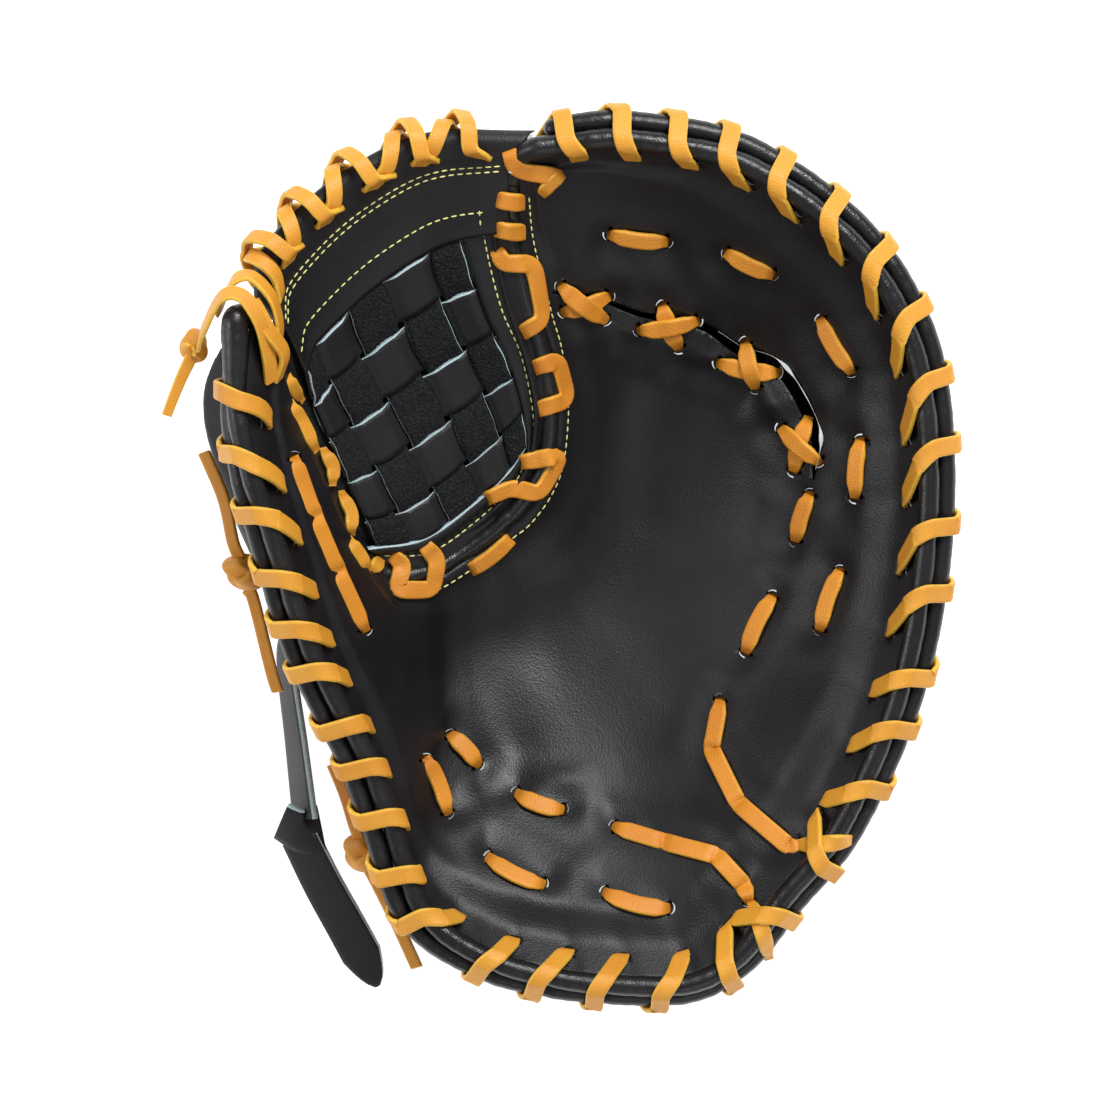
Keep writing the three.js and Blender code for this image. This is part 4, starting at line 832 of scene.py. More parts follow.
def suede_material(group):
    """The strips' rough side: matt, with a lighter speckled nap."""
    material, tree, shader, look = leather_material(group, *SUEDE)
    where = node(tree, "ShaderNodeTexCoord")
    nap = node(tree, "ShaderNodeTexNoise", {"Scale": 1500.0, "Detail": 3.0})
    spread = node(tree, "ShaderNodeMapRange", {"From Min": 0.45, "From Max": 0.72})
    tint = node(tree, "ShaderNodeMix", data_type="RGBA")
    tint.inputs["B"].default_value = SUEDE_NAP
    link(tree, (where.outputs["Object"], nap.inputs["Vector"]), (nap.outputs["Fac"], spread.inputs["Value"]),
         (spread.outputs["Result"], tint.inputs["Factor"]), (look.outputs["Base Color"], tint.inputs["A"]),
         (tint.outputs["Result"], shader.inputs["Base Color"]))
    return material


def make_materials():
    group = grain_group()
    made = {key: leather_material(group, *row)[0] for key, row in LEATHERS.items()}
    made["suede"] = suede_material(group)
    for key, row in LACES.items():
        made[key] = lace_material(group, *row)
    made["thread"] = new_material("Cream thread", (0.78, 0.78, 0.30), 0.6)[0]
    made["hole"] = new_material("Stretched hole rim", (0.50, 0.55, 0.58), 0.7)[0]
    made["floor"], _, backdrop = new_material("Backdrop", (0.9, 0.9, 0.9), 0.9)
    backdrop.inputs["Emission Color"].default_value = (1.0, 1.0, 1.0, 1.0)
    backdrop.inputs["Emission Strength"].default_value = 0.72
    return made


MATERIALS = make_materials()
TREES = {"lace": lace_band_tree(), "stitch": stitch_tree()}


# The palm and the back
def column(u):
    return np.asarray(u)[:, None]


def palm_face(u, v, extra=0.0):
    """The palm's upper face with its pads, dents and folds, and the middle surface's normal."""
    point, normal = middle(column(u), v), surface_normal(column(u), v)
    wall = palm_wall(u, v, point) + relief(point[..., :2])
    return point + normal * (GAP / 2 + wall + extra)[..., None], normal


def shell_shares(start, end, columns):
    """Even steps of v from start to end at each u."""
    return blend(start[:, None], end[:, None], np.linspace(0, 1, columns)[None, :])


def rim_cutters(deep):
    """The holes that the rim's lace goes through."""
    made = []
    for at in rim_at(rim_holes()[0]):
        v = inboard(at, LACE_INSET)[0]
        normal = surface_normal(at, v)
        outward = rim_frame(at)[2][0]
        along = unit(np.cross(normal, outward))
        made.append(slot_cutter(middle(at, v), along, normal, RIM_HOLE, deep))
    return made


def lace_end_cutters():
    """Slots where the palm's laces go in; they turn across each lace."""
    made = []
    up = np.array([0.0, 0.0, 1.0])
    for end, way in lace_ends():
        centre = np.array([*(end - LACE_WAY_IN * way), 55 * MM])
        made.append(slot_cutter(centre, np.array([*left_of(way), 0.0]), up, LACE_HOLE, 60 * MM))
    return made


def slit_cutter():
    line, side, width = slit_line(np.linspace(0, 1, 60))
    outline = np.concatenate([line + side * width[:, None] / 2, (line - side * width[:, None] / 2)[::-1]])
    low, high = (np.column_stack([outline, np.full(len(outline), z)]) for z in (-10 * MM, 120 * MM))
    return prism(low, high)


def run_on(grid, reach):
    """A sheet's grid with both ends drawn out to meet the binding that closes them."""
    swell = np.sin(np.pi * np.linspace(0.04, 0.96, grid.shape[1]))[:, None] ** 0.35 * reach
    first, last = unit(grid[0] - grid[5]), unit(grid[-1] - grid[-6])
    before = [grid[0] + first * swell * share for share in (1.0, 0.66, 0.33)]
    after = [grid[-1] + last * swell * share for share in (0.33, 0.66, 1.0)]
    return np.concatenate([before, grid, after])


def make_palm():
    u = np.linspace(0, 1, PALM_GRID[0])
    v = shell_shares(inboard(u, 0.7 * ROLL_INSET), inboard_of_notch(u, 0.6 * ROLL_INSET), PALM_GRID[1])
    top, normal = palm_face(u, v)
    top[:, -1] -= normal[:, -1] * PALM_LIP
    bottom = middle(column(u), v) + normal * GAP / 2
    top, bottom = run_on(top, PALM_RUN_ON), run_on(bottom, PALM_RUN_ON)
    palm = sheet_object("palm_leather", top, bottom, [MATERIALS["leather"], MATERIALS["binding"]])
    holes = cutters_object("holes", rim_cutters(7 * MM) + lace_end_cutters(), MATERIALS["cut"])
    slit = cutters_object("slit", [slit_cutter()], MATERIALS["lining"])
    return cut_away(cut_away(palm, holes), slit)


def make_back():
    u = np.linspace(0, 1, BACK_GRID[0])
    crowned = np.clip(-through(SECTIONS, u)[:, 6] / 0.06, 0, 1)
    from_tip = smooth(u / 0.08)
    inset = ROLL_INSET * (0.75 + (0.45 + 0.85 * crowned) * from_tip)
    start = blend(inboard(u, inset), WRIST_LIP, wrist_open(u))
    v = shell_shares(start, inboard_of_notch(u, 1.25 * ROLL_INSET), BACK_GRID[1])
    point, normal = middle(column(u), v), surface_normal(column(u), v)
    deep = GAP / 2 + 0.5 * MM * crowned[:, None] + room_at(u, v)
    inner = point - normal * deep[..., None]
    outer = point - normal * (deep + WALL_BACK)[..., None]
    inner[..., 2] = np.maximum(inner[..., 2], WALL_BACK)
    outer[..., 2] = np.maximum(outer[..., 2], 0.0)
    back = sheet_object("back_leather", inner, outer, [MATERIALS["leather"], MATERIALS["cut"]])
    holes = cutters_object("back_holes", rim_cutters(8 * MM), MATERIALS["cut"])
    return cut_away(back, holes)


def binding_radii(walk, crossings, radius, rounded=True, folds=0.014 * MM):
    """A binding's radius: pinched under each lace, a little uneven, round at both ends."""
    radii = np.full(len(walk), radius)
    for crossing in crossings:
        radii -= PINCH[0] * radius * bump(walk - crossing, PINCH[1])
    radii += 0.02 * radius * np.sin(walk * 910) * np.sin(walk * 337)
    from_end = np.minimum(walk, walk[-1] - walk)
    if rounded:
        radii *= np.sqrt(np.clip(1 - (1 - np.clip(from_end / radius, 0.02, 1)) ** 2, 0, 1))
    turn = 2 * np.pi * np.arange(BINDING_SIDES) / BINDING_SIDES
    fold = np.sin(walk * 2 * np.pi / (5.1 * MM) + 1.4 * np.sin(walk * 120))
    return radii[:, None] - folds * (fold[:, None] * (1 + np.cos(turn))[None, :])


def end_arc(u, start, away):
    """The palm's binding from the rim round the leather's end to the notch's binding."""
    inner = 0.02 if u < 0.5 else 0.98
    way = unit(middle(u, np.array([0.05, 0.95])) - middle(inner, np.array([0.05, 0.95])))
    end = middle(u, 1.0)
    rows = [start, start + way[0] * away * 0.75,
            (start * 0.62 + end * 0.38) + (way[0] + way[1]) * away * 0.62,
            (start * 0.28 + end * 0.72) + way[1] * away * 0.9, end + way[1] * 0.5 * MM]
    return bent_line(np.array(rows), 9)[1:]


def make_palm_binding():
    walk = np.linspace(0, RIM_LENGTH, BINDING_STEPS)
    centre, normal, _ = rim_frame(rim_at(walk))
    line = centre + normal * (ROLL_RADIUS + GAP / 2)
    first = end_arc(0.0, line[0], 7 * MM)[::-1]
    last = end_arc(1.0, line[-1], 5 * MM)
    line = np.concatenate([first, line, last])
    normal = np.concatenate([np.tile(normal[0], (len(first), 1)), normal,
                             np.tile(normal[-1], (len(last), 1))])
    holes, edges = rim_holes()
    radii = binding_radii(walk, blend(holes, edges, 0.75), ROLL_RADIUS, rounded=False)
    radii *= 1 + 0.3 * (1 - smooth(walk / (20 * MM)))[:, None]  # fuller round the thumb's tip
    to_notch = np.linspace(NOTCH_RADIUS, 1.3 * ROLL_RADIUS, len(first))[:, None]
    from_rim = np.linspace(ROLL_RADIUS, NOTCH_RADIUS, len(last))[:, None]
    around = np.ones(BINDING_SIDES)
    radii = np.concatenate([to_notch * around, radii, from_rim * around])
    return tube_object("palm_edge_binding", line, normal, radii, MATERIALS["binding"])


def make_back_binding():
    walk = np.linspace(0, RIM_LENGTH, BINDING_STEPS)
    centre, normal, _ = rim_frame(rim_at(walk))
    radii = binding_radii(walk, rim_holes()[1], ROLL_RADIUS)
    line = centre - normal * (ROLL_RADIUS + GAP / 2)
    return tube_object("back_edge_binding", line, normal, radii, MATERIALS["binding"])


def make_notch_binding():
    u = np.linspace(0, 1, 520)
    line = middle(u, 1.0)
    walk = walked(line)
    starts = [flat(run)[0] for run in NOTCH_LACES]
    crossings = [walk[np.argmin(np.linalg.norm(line[:, :2] - start, axis=1))] for start in starts]
    radii = binding_radii(walk, crossings, NOTCH_RADIUS, rounded=False, folds=0.006 * MM)
    return tube_object("notch_binding", line, surface_normal(u, 0.996), radii, MATERIALS["binding"])


# The lace round the rim
def bent_line(points, steps):
    """A smooth line through points, with this many places between two of them."""
    share = np.linspace(0, 1, (len(points) - 1) * steps + 1)
    return through(points, share)


def turn_profile():
    """One turn: way out from the rim, height, and share: 0 in the hole, 1 at the edge, 2 in the next."""
    reach = ROLL_RADIUS + GAP / 2 + 0.55 * LACE_THICKNESS
    level = ROLL_RADIUS + GAP / 2
    rows = [(-13.0, -0.5, 0.0), (-13.0, 2.4, 0.0), (-12.6, 4.0, 0.02), (-11.2, 5.1, 0.09), (-8.4, 6.2, 0.25)]
    front = np.radians(np.linspace(72, 176, 7))
    back = np.radians(np.linspace(184, 290, 7))
    lines = [np.array(rows) * [MM, MM, 1.0]]
    lines.append(np.column_stack([-reach * np.cos(front), level + reach * np.sin(front),
                                  (LACE_INSET - reach * np.cos(front)) / (LACE_INSET + reach)]))
    lines.append(np.column_stack([-reach * np.cos(back), -level + reach * np.sin(back),
                                  np.linspace(1.02, 1.45, 7)]))
    rows = [(-9.0, -6.4, 1.7), (-11.6, -5.2, 1.9), (-12.7, -3.8, 1.97)]
    lines.append(np.array(rows) * [MM, MM, 1.0])
    return np.concatenate(lines)


def rim_lace_line(chain, chance):
    """The line of a lace through the rim's holes, and its face's way."""
    rows = []
    for k, (hole, edge) in enumerate(chain[:-1]):
        after = chain[k + 1][0] if k + 2 < len(chain) else chain[-1]
        turn = turn_profile()
        loose = 1 + abs(chance.normal(0, 0.03))
        share = turn[:, 2] - 0.05 * chance.normal() * np.sin(np.pi * turn[:, 2])
        along = np.interp(share, (0, 1, 2), (hole, edge, after)) * RIM_LENGTH
        rows.append(np.column_stack([turn[:, 0] * np.where(turn[:, 0] > 0, loose, 1), turn[:, 1], along]))
    last = turn_profile()[:1]
    rows.append(np.column_stack([last[:, 0], last[:, 1], [chain[-1] * RIM_LENGTH]]))
    rows = bent_line(np.concatenate(rows), 3)
    u = rim_at(rows[:, 2])
    centre, normal, outward = rim_frame(u)
    inner = inboard(u, np.maximum(-rows[:, 0], 0))
    outside = rows[:, :1] > 0
    base = np.where(outside, centre + outward * rows[:, :1], middle(u, inner))
    normal = np.where(outside, normal, surface_normal(u, np.maximum(inner, 0.004)))
    line = base + normal * rows[:, 1:2]
    way = unit(np.gradient(rows[:, :2], axis=0))
    up = unit(-outward * way[:, 1:2] + normal * way[:, :1])
    along_lace = unit(np.gradient(line, axis=0))
    girth = 0.72 + 0.28 * smooth((rows[:, 0] + 12.9 * MM) / (3.5 * MM))
    return line, unit(up - along_lace * (up * along_lace).sum(axis=1, keepdims=True)), girth


def make_rim_lace(name):
    chance = np.random.default_rng(11)
    laces_here = [rim_lace_line(chain, chance) for chain in RIM_TURNS[name]]
    lines, ups, girths = zip(*laces_here)
    return lace_object(f"rim_lacing_{name}", lines, ups, girths=girths)


# Laces that lie on the leather
def ground_of(objects):
    """Search trees of the objects' faces."""
    meshes = [obj.data for obj in objects]
    return [BVHTree.FromPolygons([v.co for v in mesh.vertices], [tuple(p.vertices) for p in mesh.polygons])
            for mesh in meshes]


def height_at(trees, x, y):
    """The leather's height under a place, or None over a gap."""
    found = [tree.ray_cast(Vector((x, y, 0.3)), Vector((0, 0, -1)), 0.31)[0] for tree in trees]
    found = [hit.z for hit in found if hit is not None]
    return max(found) if found else None


def filled(values):
    """Heights with the gaps filled from both sides, or zeros where nothing lies under the line."""
    values = np.array([np.nan if value is None else value for value in values])
    known = np.flatnonzero(~np.isnan(values))
    if len(known) == 0:
        return np.zeros(len(values))
    return np.interp(np.arange(len(values)), known, values[known])


def rounded_walk(corners, step, keep):
    """Evenly spaced places along corners that are cut off by a share of each side."""
    line = [corners[0]]
    for before, corner, after in zip(corners[:-2], corners[1:-1], corners[2:]):
        a = corner + (before - corner) * keep
        b = corner + (after - corner) * keep
        for t in np.linspace(0, 1, 5):
            line.append((1 - t) ** 2 * a + 2 * t * (1 - t) * corner + t * t * b)
    line.append(corners[-1])
    line = np.array(line)
    walk = walked(line)
    even = np.linspace(0, walk[-1], max(8, int(walk[-1] / step)))
    return np.column_stack([np.interp(even, walk, line[:, k]) for k in (0, 1)]), even


def eased(values, reach):
    """The mean of each value and its neighbours."""
    return np.convolve(np.pad(values, reach, mode="edge"), np.ones(2 * reach + 1) / (2 * reach + 1), "valid")


def laid_line(trees, run, dips=False, lift_at=None, lift=0.0, ends=0.58):
    """A lace over the leather that dives at its ends: its line, its face's way and its girth."""
    corners = flat(run)
    line, walk = rounded_walk(corners, LACE_STEP, 0.12 if dips else 0.27)
    if len(run) == 2:
        chord = corners[-1] - corners[0]
        line = line + np.sin(np.pi * walk / walk[-1])[:, None] * left_of(chord) * LACE_BOW
    side = left_of(unit(np.gradient(line, axis=0))) * LACE_WIDTH * 0.42
    left, centre, right = (filled([height_at(trees, *(p + k * s)) for p, s in zip(line, side)])
                           for k in (1, 0, -1))
    height = np.maximum(centre, (left + right) / 2)
    height = eased(np.maximum(height, eased(height, 2)), 2)
    from_end = np.minimum(walk, walk[-1] - walk)
    arch = 0.9 * MM * np.sin(np.pi * walk / walk[-1]) if len(run) == 2 else 0.0
    height += LACE_THICKNESS * 0.5 + 0.2 * MM + arch - LACE_DIVE[0] * (1 - smooth(from_end / LACE_DIVE[1]))
    if dips:
        for corner in corners[1:-1]:
            near = np.linalg.norm(line - corner, axis=1)
            height -= 2.3 * MM * bump(near, 1.9 * MM)
    if lift_at is not None:
        height += lift * bump(np.linalg.norm(line - lift_at, axis=1), 4.6 * MM)
    points = np.column_stack([line, height])
    tilt = np.clip(eased((left - right) / (0.84 * LACE_WIDTH), 4), -0.8, 0.8)
    across = unit(np.column_stack([unit(side), tilt]))
    up = unit(np.cross(unit(np.gradient(points, axis=0)), across))
    girth = ends + (1 - ends) * smooth((from_end - 0.8 * MM) / min(5.5 * MM, 0.25 * walk[-1]))
    return points, np.where(up[:, 2:] < 0, -up, up), girth


def crossing(a, b):
    """Where two straight laces cross, seen from above."""
    (p, q), (r, s) = flat(a), flat(b)
    share = np.linalg.solve(np.column_stack([q - p, r - s]), r - p)[0]
    return p + share * (q - p)


def make_laid_laces(trees):
    """The laces through the palm, over the slit, over the notch's binding and beside the web."""
    rows = [(f"palm_lacing_{k + 1}", f"palm_lace_{k + 1}", [laid_line(trees, run, dips=len(run) > 2)])
            for k, run in enumerate(PALM_LACES)]
    rows += [(f"notch_lacing_{k + 1}", f"notch_lace_{k + 1}", [laid_line(trees, run, ends=0.82)])
             for k, run in enumerate(NOTCH_LACES)]
    for k, (over, under) in enumerate(CROSS_LACES):
        upper = laid_line(trees, over, lift_at=crossing(under, over), lift=1.25 * LACE_THICKNESS)
        rows.append((f"cross_lacing_{k + 1}", f"cross_lace_{k + 1}", [laid_line(trees, under), upper]))
    made = []
    for name, cad_name, lines in rows:
        path, facing, girths = zip(*lines)
        lace = lace_object(name, path, facing, material=MATERIALS["palm_lace"], girths=girths)
        made.append((lace, cad_name))
    return made


def make_side_lacing(trees, trees_with_rim):
    """The short laces beside the web, and the last reach of the palm's long ones over the bindings."""
    lines = [laid_line(trees, run) for run in WEB_SIDE_LACES]
    for run in RIM_REACHES:
        points, facing, girth = laid_line(trees_with_rim, run)
        lines.append((points - [0, 0, 0.9 * MM], facing, 1.15 * girth))
    points, facing, girths = zip(*lines)
    return lace_object("web_side_lacing", points, facing, SIDE_LACE_WIDTH, girths=girths)


def lace_ends():
    """Where the palm's laces go in, and the way on past each end."""
    for run in PALM_LACES + SLIT_LACES:
        corners = flat(run)
        for end, before in ((corners[0], corners[1]), (corners[-1], corners[-2])):
            yield end, unit(end - before)


def rim_lace_ends():
    """The rim's lace holes, and the way inboard from each."""
    for at in rim_at(rim_holes()[0]):
        here, inner = (middle(at, inboard(at, LACE_INSET + reach)[0])[:2] for reach in (0, 2 * MM))
        yield here, unit(inner - here)


def make_raw_edges(trees):
    """Pale rims of the stretched holes, the slit's far edge and the web flap's cut end."""
    chance = np.random.default_rng(5)
    lines, girths = [], []
    turn = np.linspace(-1.15, 1.15, 11)
    for centre, way in list(lace_ends()) + list(rim_lace_ends()):
        reach = chance.uniform(-0.5, 0.5) * MM
        girth = chance.uniform(0.05, 0.8) * np.cos(turn * 1.2) + 0.02
        line = centre + way * reach + np.outer(np.cos(turn) - 0.55, way) * 2.3 * MM
        line = line + np.outer(np.sin(turn), left_of(way)) * 2.6 * MM
        heights = [height_at(trees, *xy) for xy in line]
        if all(height is None for height in heights):
            continue
        lines.append(np.column_stack([line, np.full(len(line), np.median(filled(heights))) + 0.1 * MM]))
        girths.append(girth)
    share = np.linspace(0.42, 0.97, 50)
    line, side, width = slit_line(share)
    line = line + side * (width / 2 - 0.5 * MM)[:, None]
    height = filled([height_at(trees, *(xy + 1.6 * MM * s)) for xy, s in zip(line, side)])
    lines.append(np.column_stack([line, height - 0.9 * MM]))
    girths.append(0.12 + 0.35 * bump(share - 0.74, 0.03) + 2.0 * bump(share - 0.655, 0.026)
                  + 2.0 * bump(share - 0.875, 0.024))
    lines.append(web_offset(1.045, np.linspace(0.86, 1.0, 20), np.linspace(4.6, 2.4, 20) * MM))
    girths.append(np.full(20, 1.5))
    ups = [np.tile([0.0, 0.0, 1.0], (len(line), 1)) for line in lines]
    return lace_object("raw_edges", lines, ups, *RAW_EDGE, MATERIALS["hole"], girths)


# The web
def web_at(s, t):
    """The web's surface; past its sides it runs straight on."""
    s, t = np.broadcast_arrays(np.asarray(s, float), np.asarray(t, float))
    s0, t0 = np.clip(s, 0, 1), np.clip(t, 0, 1)
    step = 0.02
    s2, t2 = np.where(s < 0.5, s0 + step, s0 - step), np.where(t < 0.5, t0 + step, t0 - step)
    here = web_patch(s0, t0)
    along = (web_patch(s2, t0) - here) / (s2 - s0)[..., None]
    up = (web_patch(s0, t2) - here) / (t2 - t0)[..., None]
    return here + along * (s - s0)[..., None] + up * (t - t0)[..., None]


def web_patch(s, t):
    sides = {name: place(rows) for name, rows in WEB_SIDES.items()}
    s1, t1 = s[..., None], t[..., None]
    point = through(sides["bottom"], s) * (1 - t1) + through(sides["top"], s) * t1
    point = point + through(sides["left"], t) * (1 - s1) + through(sides["right"], t) * s1
    point = point - sides["left"][0] * (1 - s1) * (1 - t1) - sides["right"][0] * s1 * (1 - t1)
    point = point - sides["left"][-1] * (1 - s1) * t1 - sides["right"][-1] * s1 * t1
    point[..., 2] -= WEB_SAG * DEPTH * np.sin(np.pi * s) * np.sin(np.pi * t)
    return point


def web_offset(s, t, distance):
    """Places at a distance in front of the web's surface."""
    step = 0.004
    s, t = np.broadcast_arrays(np.asarray(s, float), np.asarray(t, float))
    s0, t0 = np.clip(s, step, 1 - step), np.clip(t, step, 1 - step)
    along = web_at(s0 + step, t0) - web_at(s0 - step, t0)
    up = web_at(s0, t0 + step) - web_at(s0, t0 - step)
    return web_at(s, t) + unit(np.cross(along, up)) * np.asarray(distance)[..., None]


def window_right(t):
    share = (t - WINDOW["bottom"]) / (WINDOW["top"] - WINDOW["bottom"])
    return blend(WINDOW["right_low"], WINDOW["right_high"], share)


def web_sheet(name, s, t, heights, materials, edge=(1, 1, 1, 1)):
    low, high = (np.broadcast_to(h, s.shape) for h in heights)
    return sheet_object(name, web_offset(s, t, high), web_offset(s, t, low), materials, edge)


def make_web_base():
    t, s = np.meshgrid(np.linspace(-0.085, 0.88, 52), np.linspace(-0.055, 1.095, 64), indexing="ij")
    return web_sheet("web_base", s, t, (-1.9 * MM, -GAP), [MATERIALS["suede"], MATERIALS["web"]])


def make_web_frame():
    """The frame's leather lies over the strips' ends; its inner cut edge shows below the window."""
    t, s = np.meshgrid(np.linspace(-0.05, WINDOW["bottom"] - 0.002, 14), np.linspace(-0.03, 0.945, 60),
                       indexing="ij")
    rise = 2.0 * MM + 2.6 * MM * smooth((t - 0.02) / 0.04) * (1 - 0.75 * smooth((s - 0.86) / 0.08))
    under = t + np.where(t > WINDOW["bottom"] - 0.003, 0.008, 0.0)
    low = closed_sheet(web_offset(s, t, rise), web_offset(s, under, rise - 1.7 * MM), (0, 0, 1, 0))
    t, share = np.meshgrid(np.linspace(-0.01, WINDOW["top"] + 0.004, 60), np.linspace(0, 1, 12),
                           indexing="ij")
    s = blend(window_right(t) + 0.004, 1.062, share)
    rise = 2.0 * MM + 2.2 * MM * smooth((0.5 - share) / 0.4)
    right = closed_sheet(web_offset(s, t, rise), web_offset(s, t, rise - 1.7 * MM), (0, 0, 0, 1))
    return merged("web_frame", [low, right], [MATERIALS["web"], MATERIALS["cut"]])


def make_web_hem():
    """The web leather's hem, which runs under the notch's binding and closes the corner."""
    u = np.linspace(0.30, 0.975, 150)
    edge, normal = middle(u, 1.0), surface_normal(u, 0.996)
    outward = unit(edge - middle(u, 0.97))
    line = edge + outward * 2.6 * MM - normal * 2.0 * MM
    return lace_object("web_hem", [line], [normal], *HEM, MATERIALS["web"])


def make_top_band():
    """The web's top leather, folded over its edge; its underside is drawn on past the last column."""
    share = np.concatenate([np.linspace(0, 0.94, 34), [0.965, 0.985, 1.0]])
    back, front = (np.interp(share, TOP_BAND[:, 0], TOP_BAND[:, k]) * MM for k in (1, 2))
    round_off = np.sqrt(np.clip(1 - np.clip((share - 0.88) / 0.12, 0, 1) ** 2, 0, 1))
    front = np.where(share > 0.88, blend(-0.2 * MM, 3.9 * MM, round_off), front)
    back = np.where(share > 0.88, blend(-0.3 * MM, -3.6 * MM, round_off), back)
    t, s = np.meshgrid(blend(WINDOW["top"] + 0.002, 1.0, share), np.linspace(-0.005, 1.04, 90), indexing="ij")
    back, front = np.repeat(back[:, None], 90, 1), np.repeat(front[:, None], 90, 1)
    under = s + np.where(s > 1.039, 0.016, 0.0)
    return sheet_object("web_top", web_offset(s, t, front), web_offset(under, t, back),
                        [MATERIALS["web"], MATERIALS["cut"]], (0, 0, 0, 0))


def make_strip(index, down):
    """One woven strip; the across strips' upper cut edge leans so that it shows."""
    name = f"web_strap_{'down' if down else 'across'}_{index + 1}"
    along, across = np.meshgrid(np.linspace(0, STRIP_COUNT, 71), np.linspace(-0.5, 0.5, 9), indexing="ij")
    sign = (1 if index % 2 == 0 else -1) * (1 if down else -1)
    wave = np.clip(1.6 * np.sin(np.pi * along), -1, 1) * sign
    crown = 0.25 * MM * (1 - (2 * across) ** 2)
    level = 2 * GAP + STRIP_THICKNESS / 2 + STRIP_WAVE * (1 + wave)
    share = STRIP_SHARE * (1 - 0.04 * np.cos(2 * np.pi * along))

    def sheet(height, narrower):
        reach = across * share - np.where(across > 0.45, narrower * np.abs(np.sin(np.pi * along)), 0.0)
        place_across = index + 0.5 + reach
        x, y = (place_across, along) if down else (along, place_across)
        t = blend(WINDOW["bottom"], WINDOW["top"], y / STRIP_COUNT)
        s = blend(WINDOW["left"], window_right(t), x / STRIP_COUNT)
        return web_offset(s, t, height)

    top = sheet(level + crown + STRIP_THICKNESS / 2, 0.0 if down else 0.042)
    bottom = sheet(level + crown - STRIP_THICKNESS / 2, 0.0)
    face = MATERIALS["suede"] if down else MATERIALS["web"]
    return sheet_object(name, top, bottom, [face, MATERIALS["cut"]], (0, 1, 0, 1))


def make_top_lace():
    """The two laces that cross over the web's top edge."""
    lines, ups = [], []
    for start, end, level in ((0.05, 0.89, 0.0), (0.95, 0.11, 2.6)):
        rows = []
        for k in range(5):
            turn = [(-9, 3.4, 0), (-8.4, 5.0, 0.03), (-6, 5.9 + 0.5 * level, 0.15),
                    (-3.4, 6.2 + level, 0.3), (-0.5, 5.6 + level, 0.37),
                    (2.0 + level, 3.4 + 0.7 * level, 0.44), (3.0 + level, 0, 0.5),
                    (2.0 + level, -3.4 - 0.7 * level, 0.56), (-0.5, -5.6 - level, 0.63),
                    (-3.4, -6.2 - level, 0.7), (-6, -5.9, 0.85), (-8.6, -4.6, 0.97)]
            rows += [(rise, height, (k + gain) / 5) for rise, height, gain in turn]
        rows.append((-9, 3.4, 1.0))
        rows = bent_line(np.array(rows), 3)
        s = blend(start, end, rows[:, 2])
        top = web_at(s, 1.0)
        up = unit(top - web_at(s, 0.97))
        normal = unit(web_offset(s, 0.97, MM) - web_at(s, 0.97))
        lines.append(top + up * rows[:, :1] * MM + normal * rows[:, 1:2] * MM)
        way = unit(np.gradient(rows[:, :2], axis=0))
        ups.append(unit(-up * way[:, 1:2] + normal * way[:, :1]))
    return lace_object("web_top_lacing", lines, ups, TOP_LACE_WIDTH)


# Knots, lace ends and the strap at the thumb side
def solid_box(cad_name):
    return (np.array(corner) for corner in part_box(cad_name))


def fitted(obj, cad_name, stretch=True):
    """Moves a piece's corners so that its box is the solid's box, or only shares its middle."""
    low, high = solid_box(cad_name)
    corners = corners_of(obj)
    own_low, own_high = corners.min(axis=0), corners.max(axis=0)
    factor = (high - low) / (own_high - own_low) if stretch else 1.0
    return move_corners(obj, (corners - (own_low + own_high) / 2) * factor + (low + high) / 2)


def knot_line(turn, radius=3.6 * MM):
    """A closed overhand knot about the origin, and its face's way."""
    t = np.linspace(0, 2 * np.pi, 73)[:-1]
    x = np.sin(t) + 2 * np.sin(2 * t)
    y = np.cos(t) - 2 * np.cos(2 * t)
    z = -np.sin(3 * t)
    line = np.column_stack([x, y, 0.8 * z]) * radius / 3
    turned = np.array([[math.cos(turn), -math.sin(turn), 0], [math.sin(turn), math.cos(turn), 0], [0, 0, 1]])
    line = np.vstack([line, line[:3]]) @ turned.T
    up = unit(line * [1, 1, 0.4] + [0, 0, 2.2 * MM])
    return line, up


def make_knot(name, turn):
    line, up = knot_line(turn)
    # the knot takes the darker copy of the lace, with painted shade in its colour
    knot = fitted(lace_object(f"{name}_strands", [line], [up], *KNOT_LACE, MATERIALS["shaded_side_lace"]), name)
    low, high = solid_box(name)
    centre = (low + high) / 2
    return move_corners(knot, (corners_of(knot) - centre) * KNOT_SWELL + centre + KNOT_SHIFT)


def make_tip_lacing():
    """The loops over the thumb's tip and the knot with its short tail beside them."""
    centre = place((0.016, 0.745, 0.900))
    lines, ups = [], []
    for rows in TIP_LOOPS:
        line = bent_line(place(rows), 8)
        lines.append(line)
        ups.append(unit(line - centre))
    knot, facing = knot_line(0.6, 3.2 * MM)
    lines.append(knot * [1.0, 1.35, 1.0] + place((-0.058, 0.752, 0.885)))
    ups.append(facing)
    tail = bent_line(place(((-0.060, 0.742, 0.885), (-0.078, 0.712, 0.865), (-0.098, 0.672, 0.845))), 6)
    lines.append(tail)
    ups.append(np.tile([0.3, -0.2, 0.93], (len(tail), 1)))
    girths = [np.ones(len(line)) for line in lines]
    girths[-1] = np.linspace(0.8, 0.62, len(tail))
    return lace_object("thumb_tip_lacing", lines, ups, TIP_LACE_WIDTH, girths=girths)


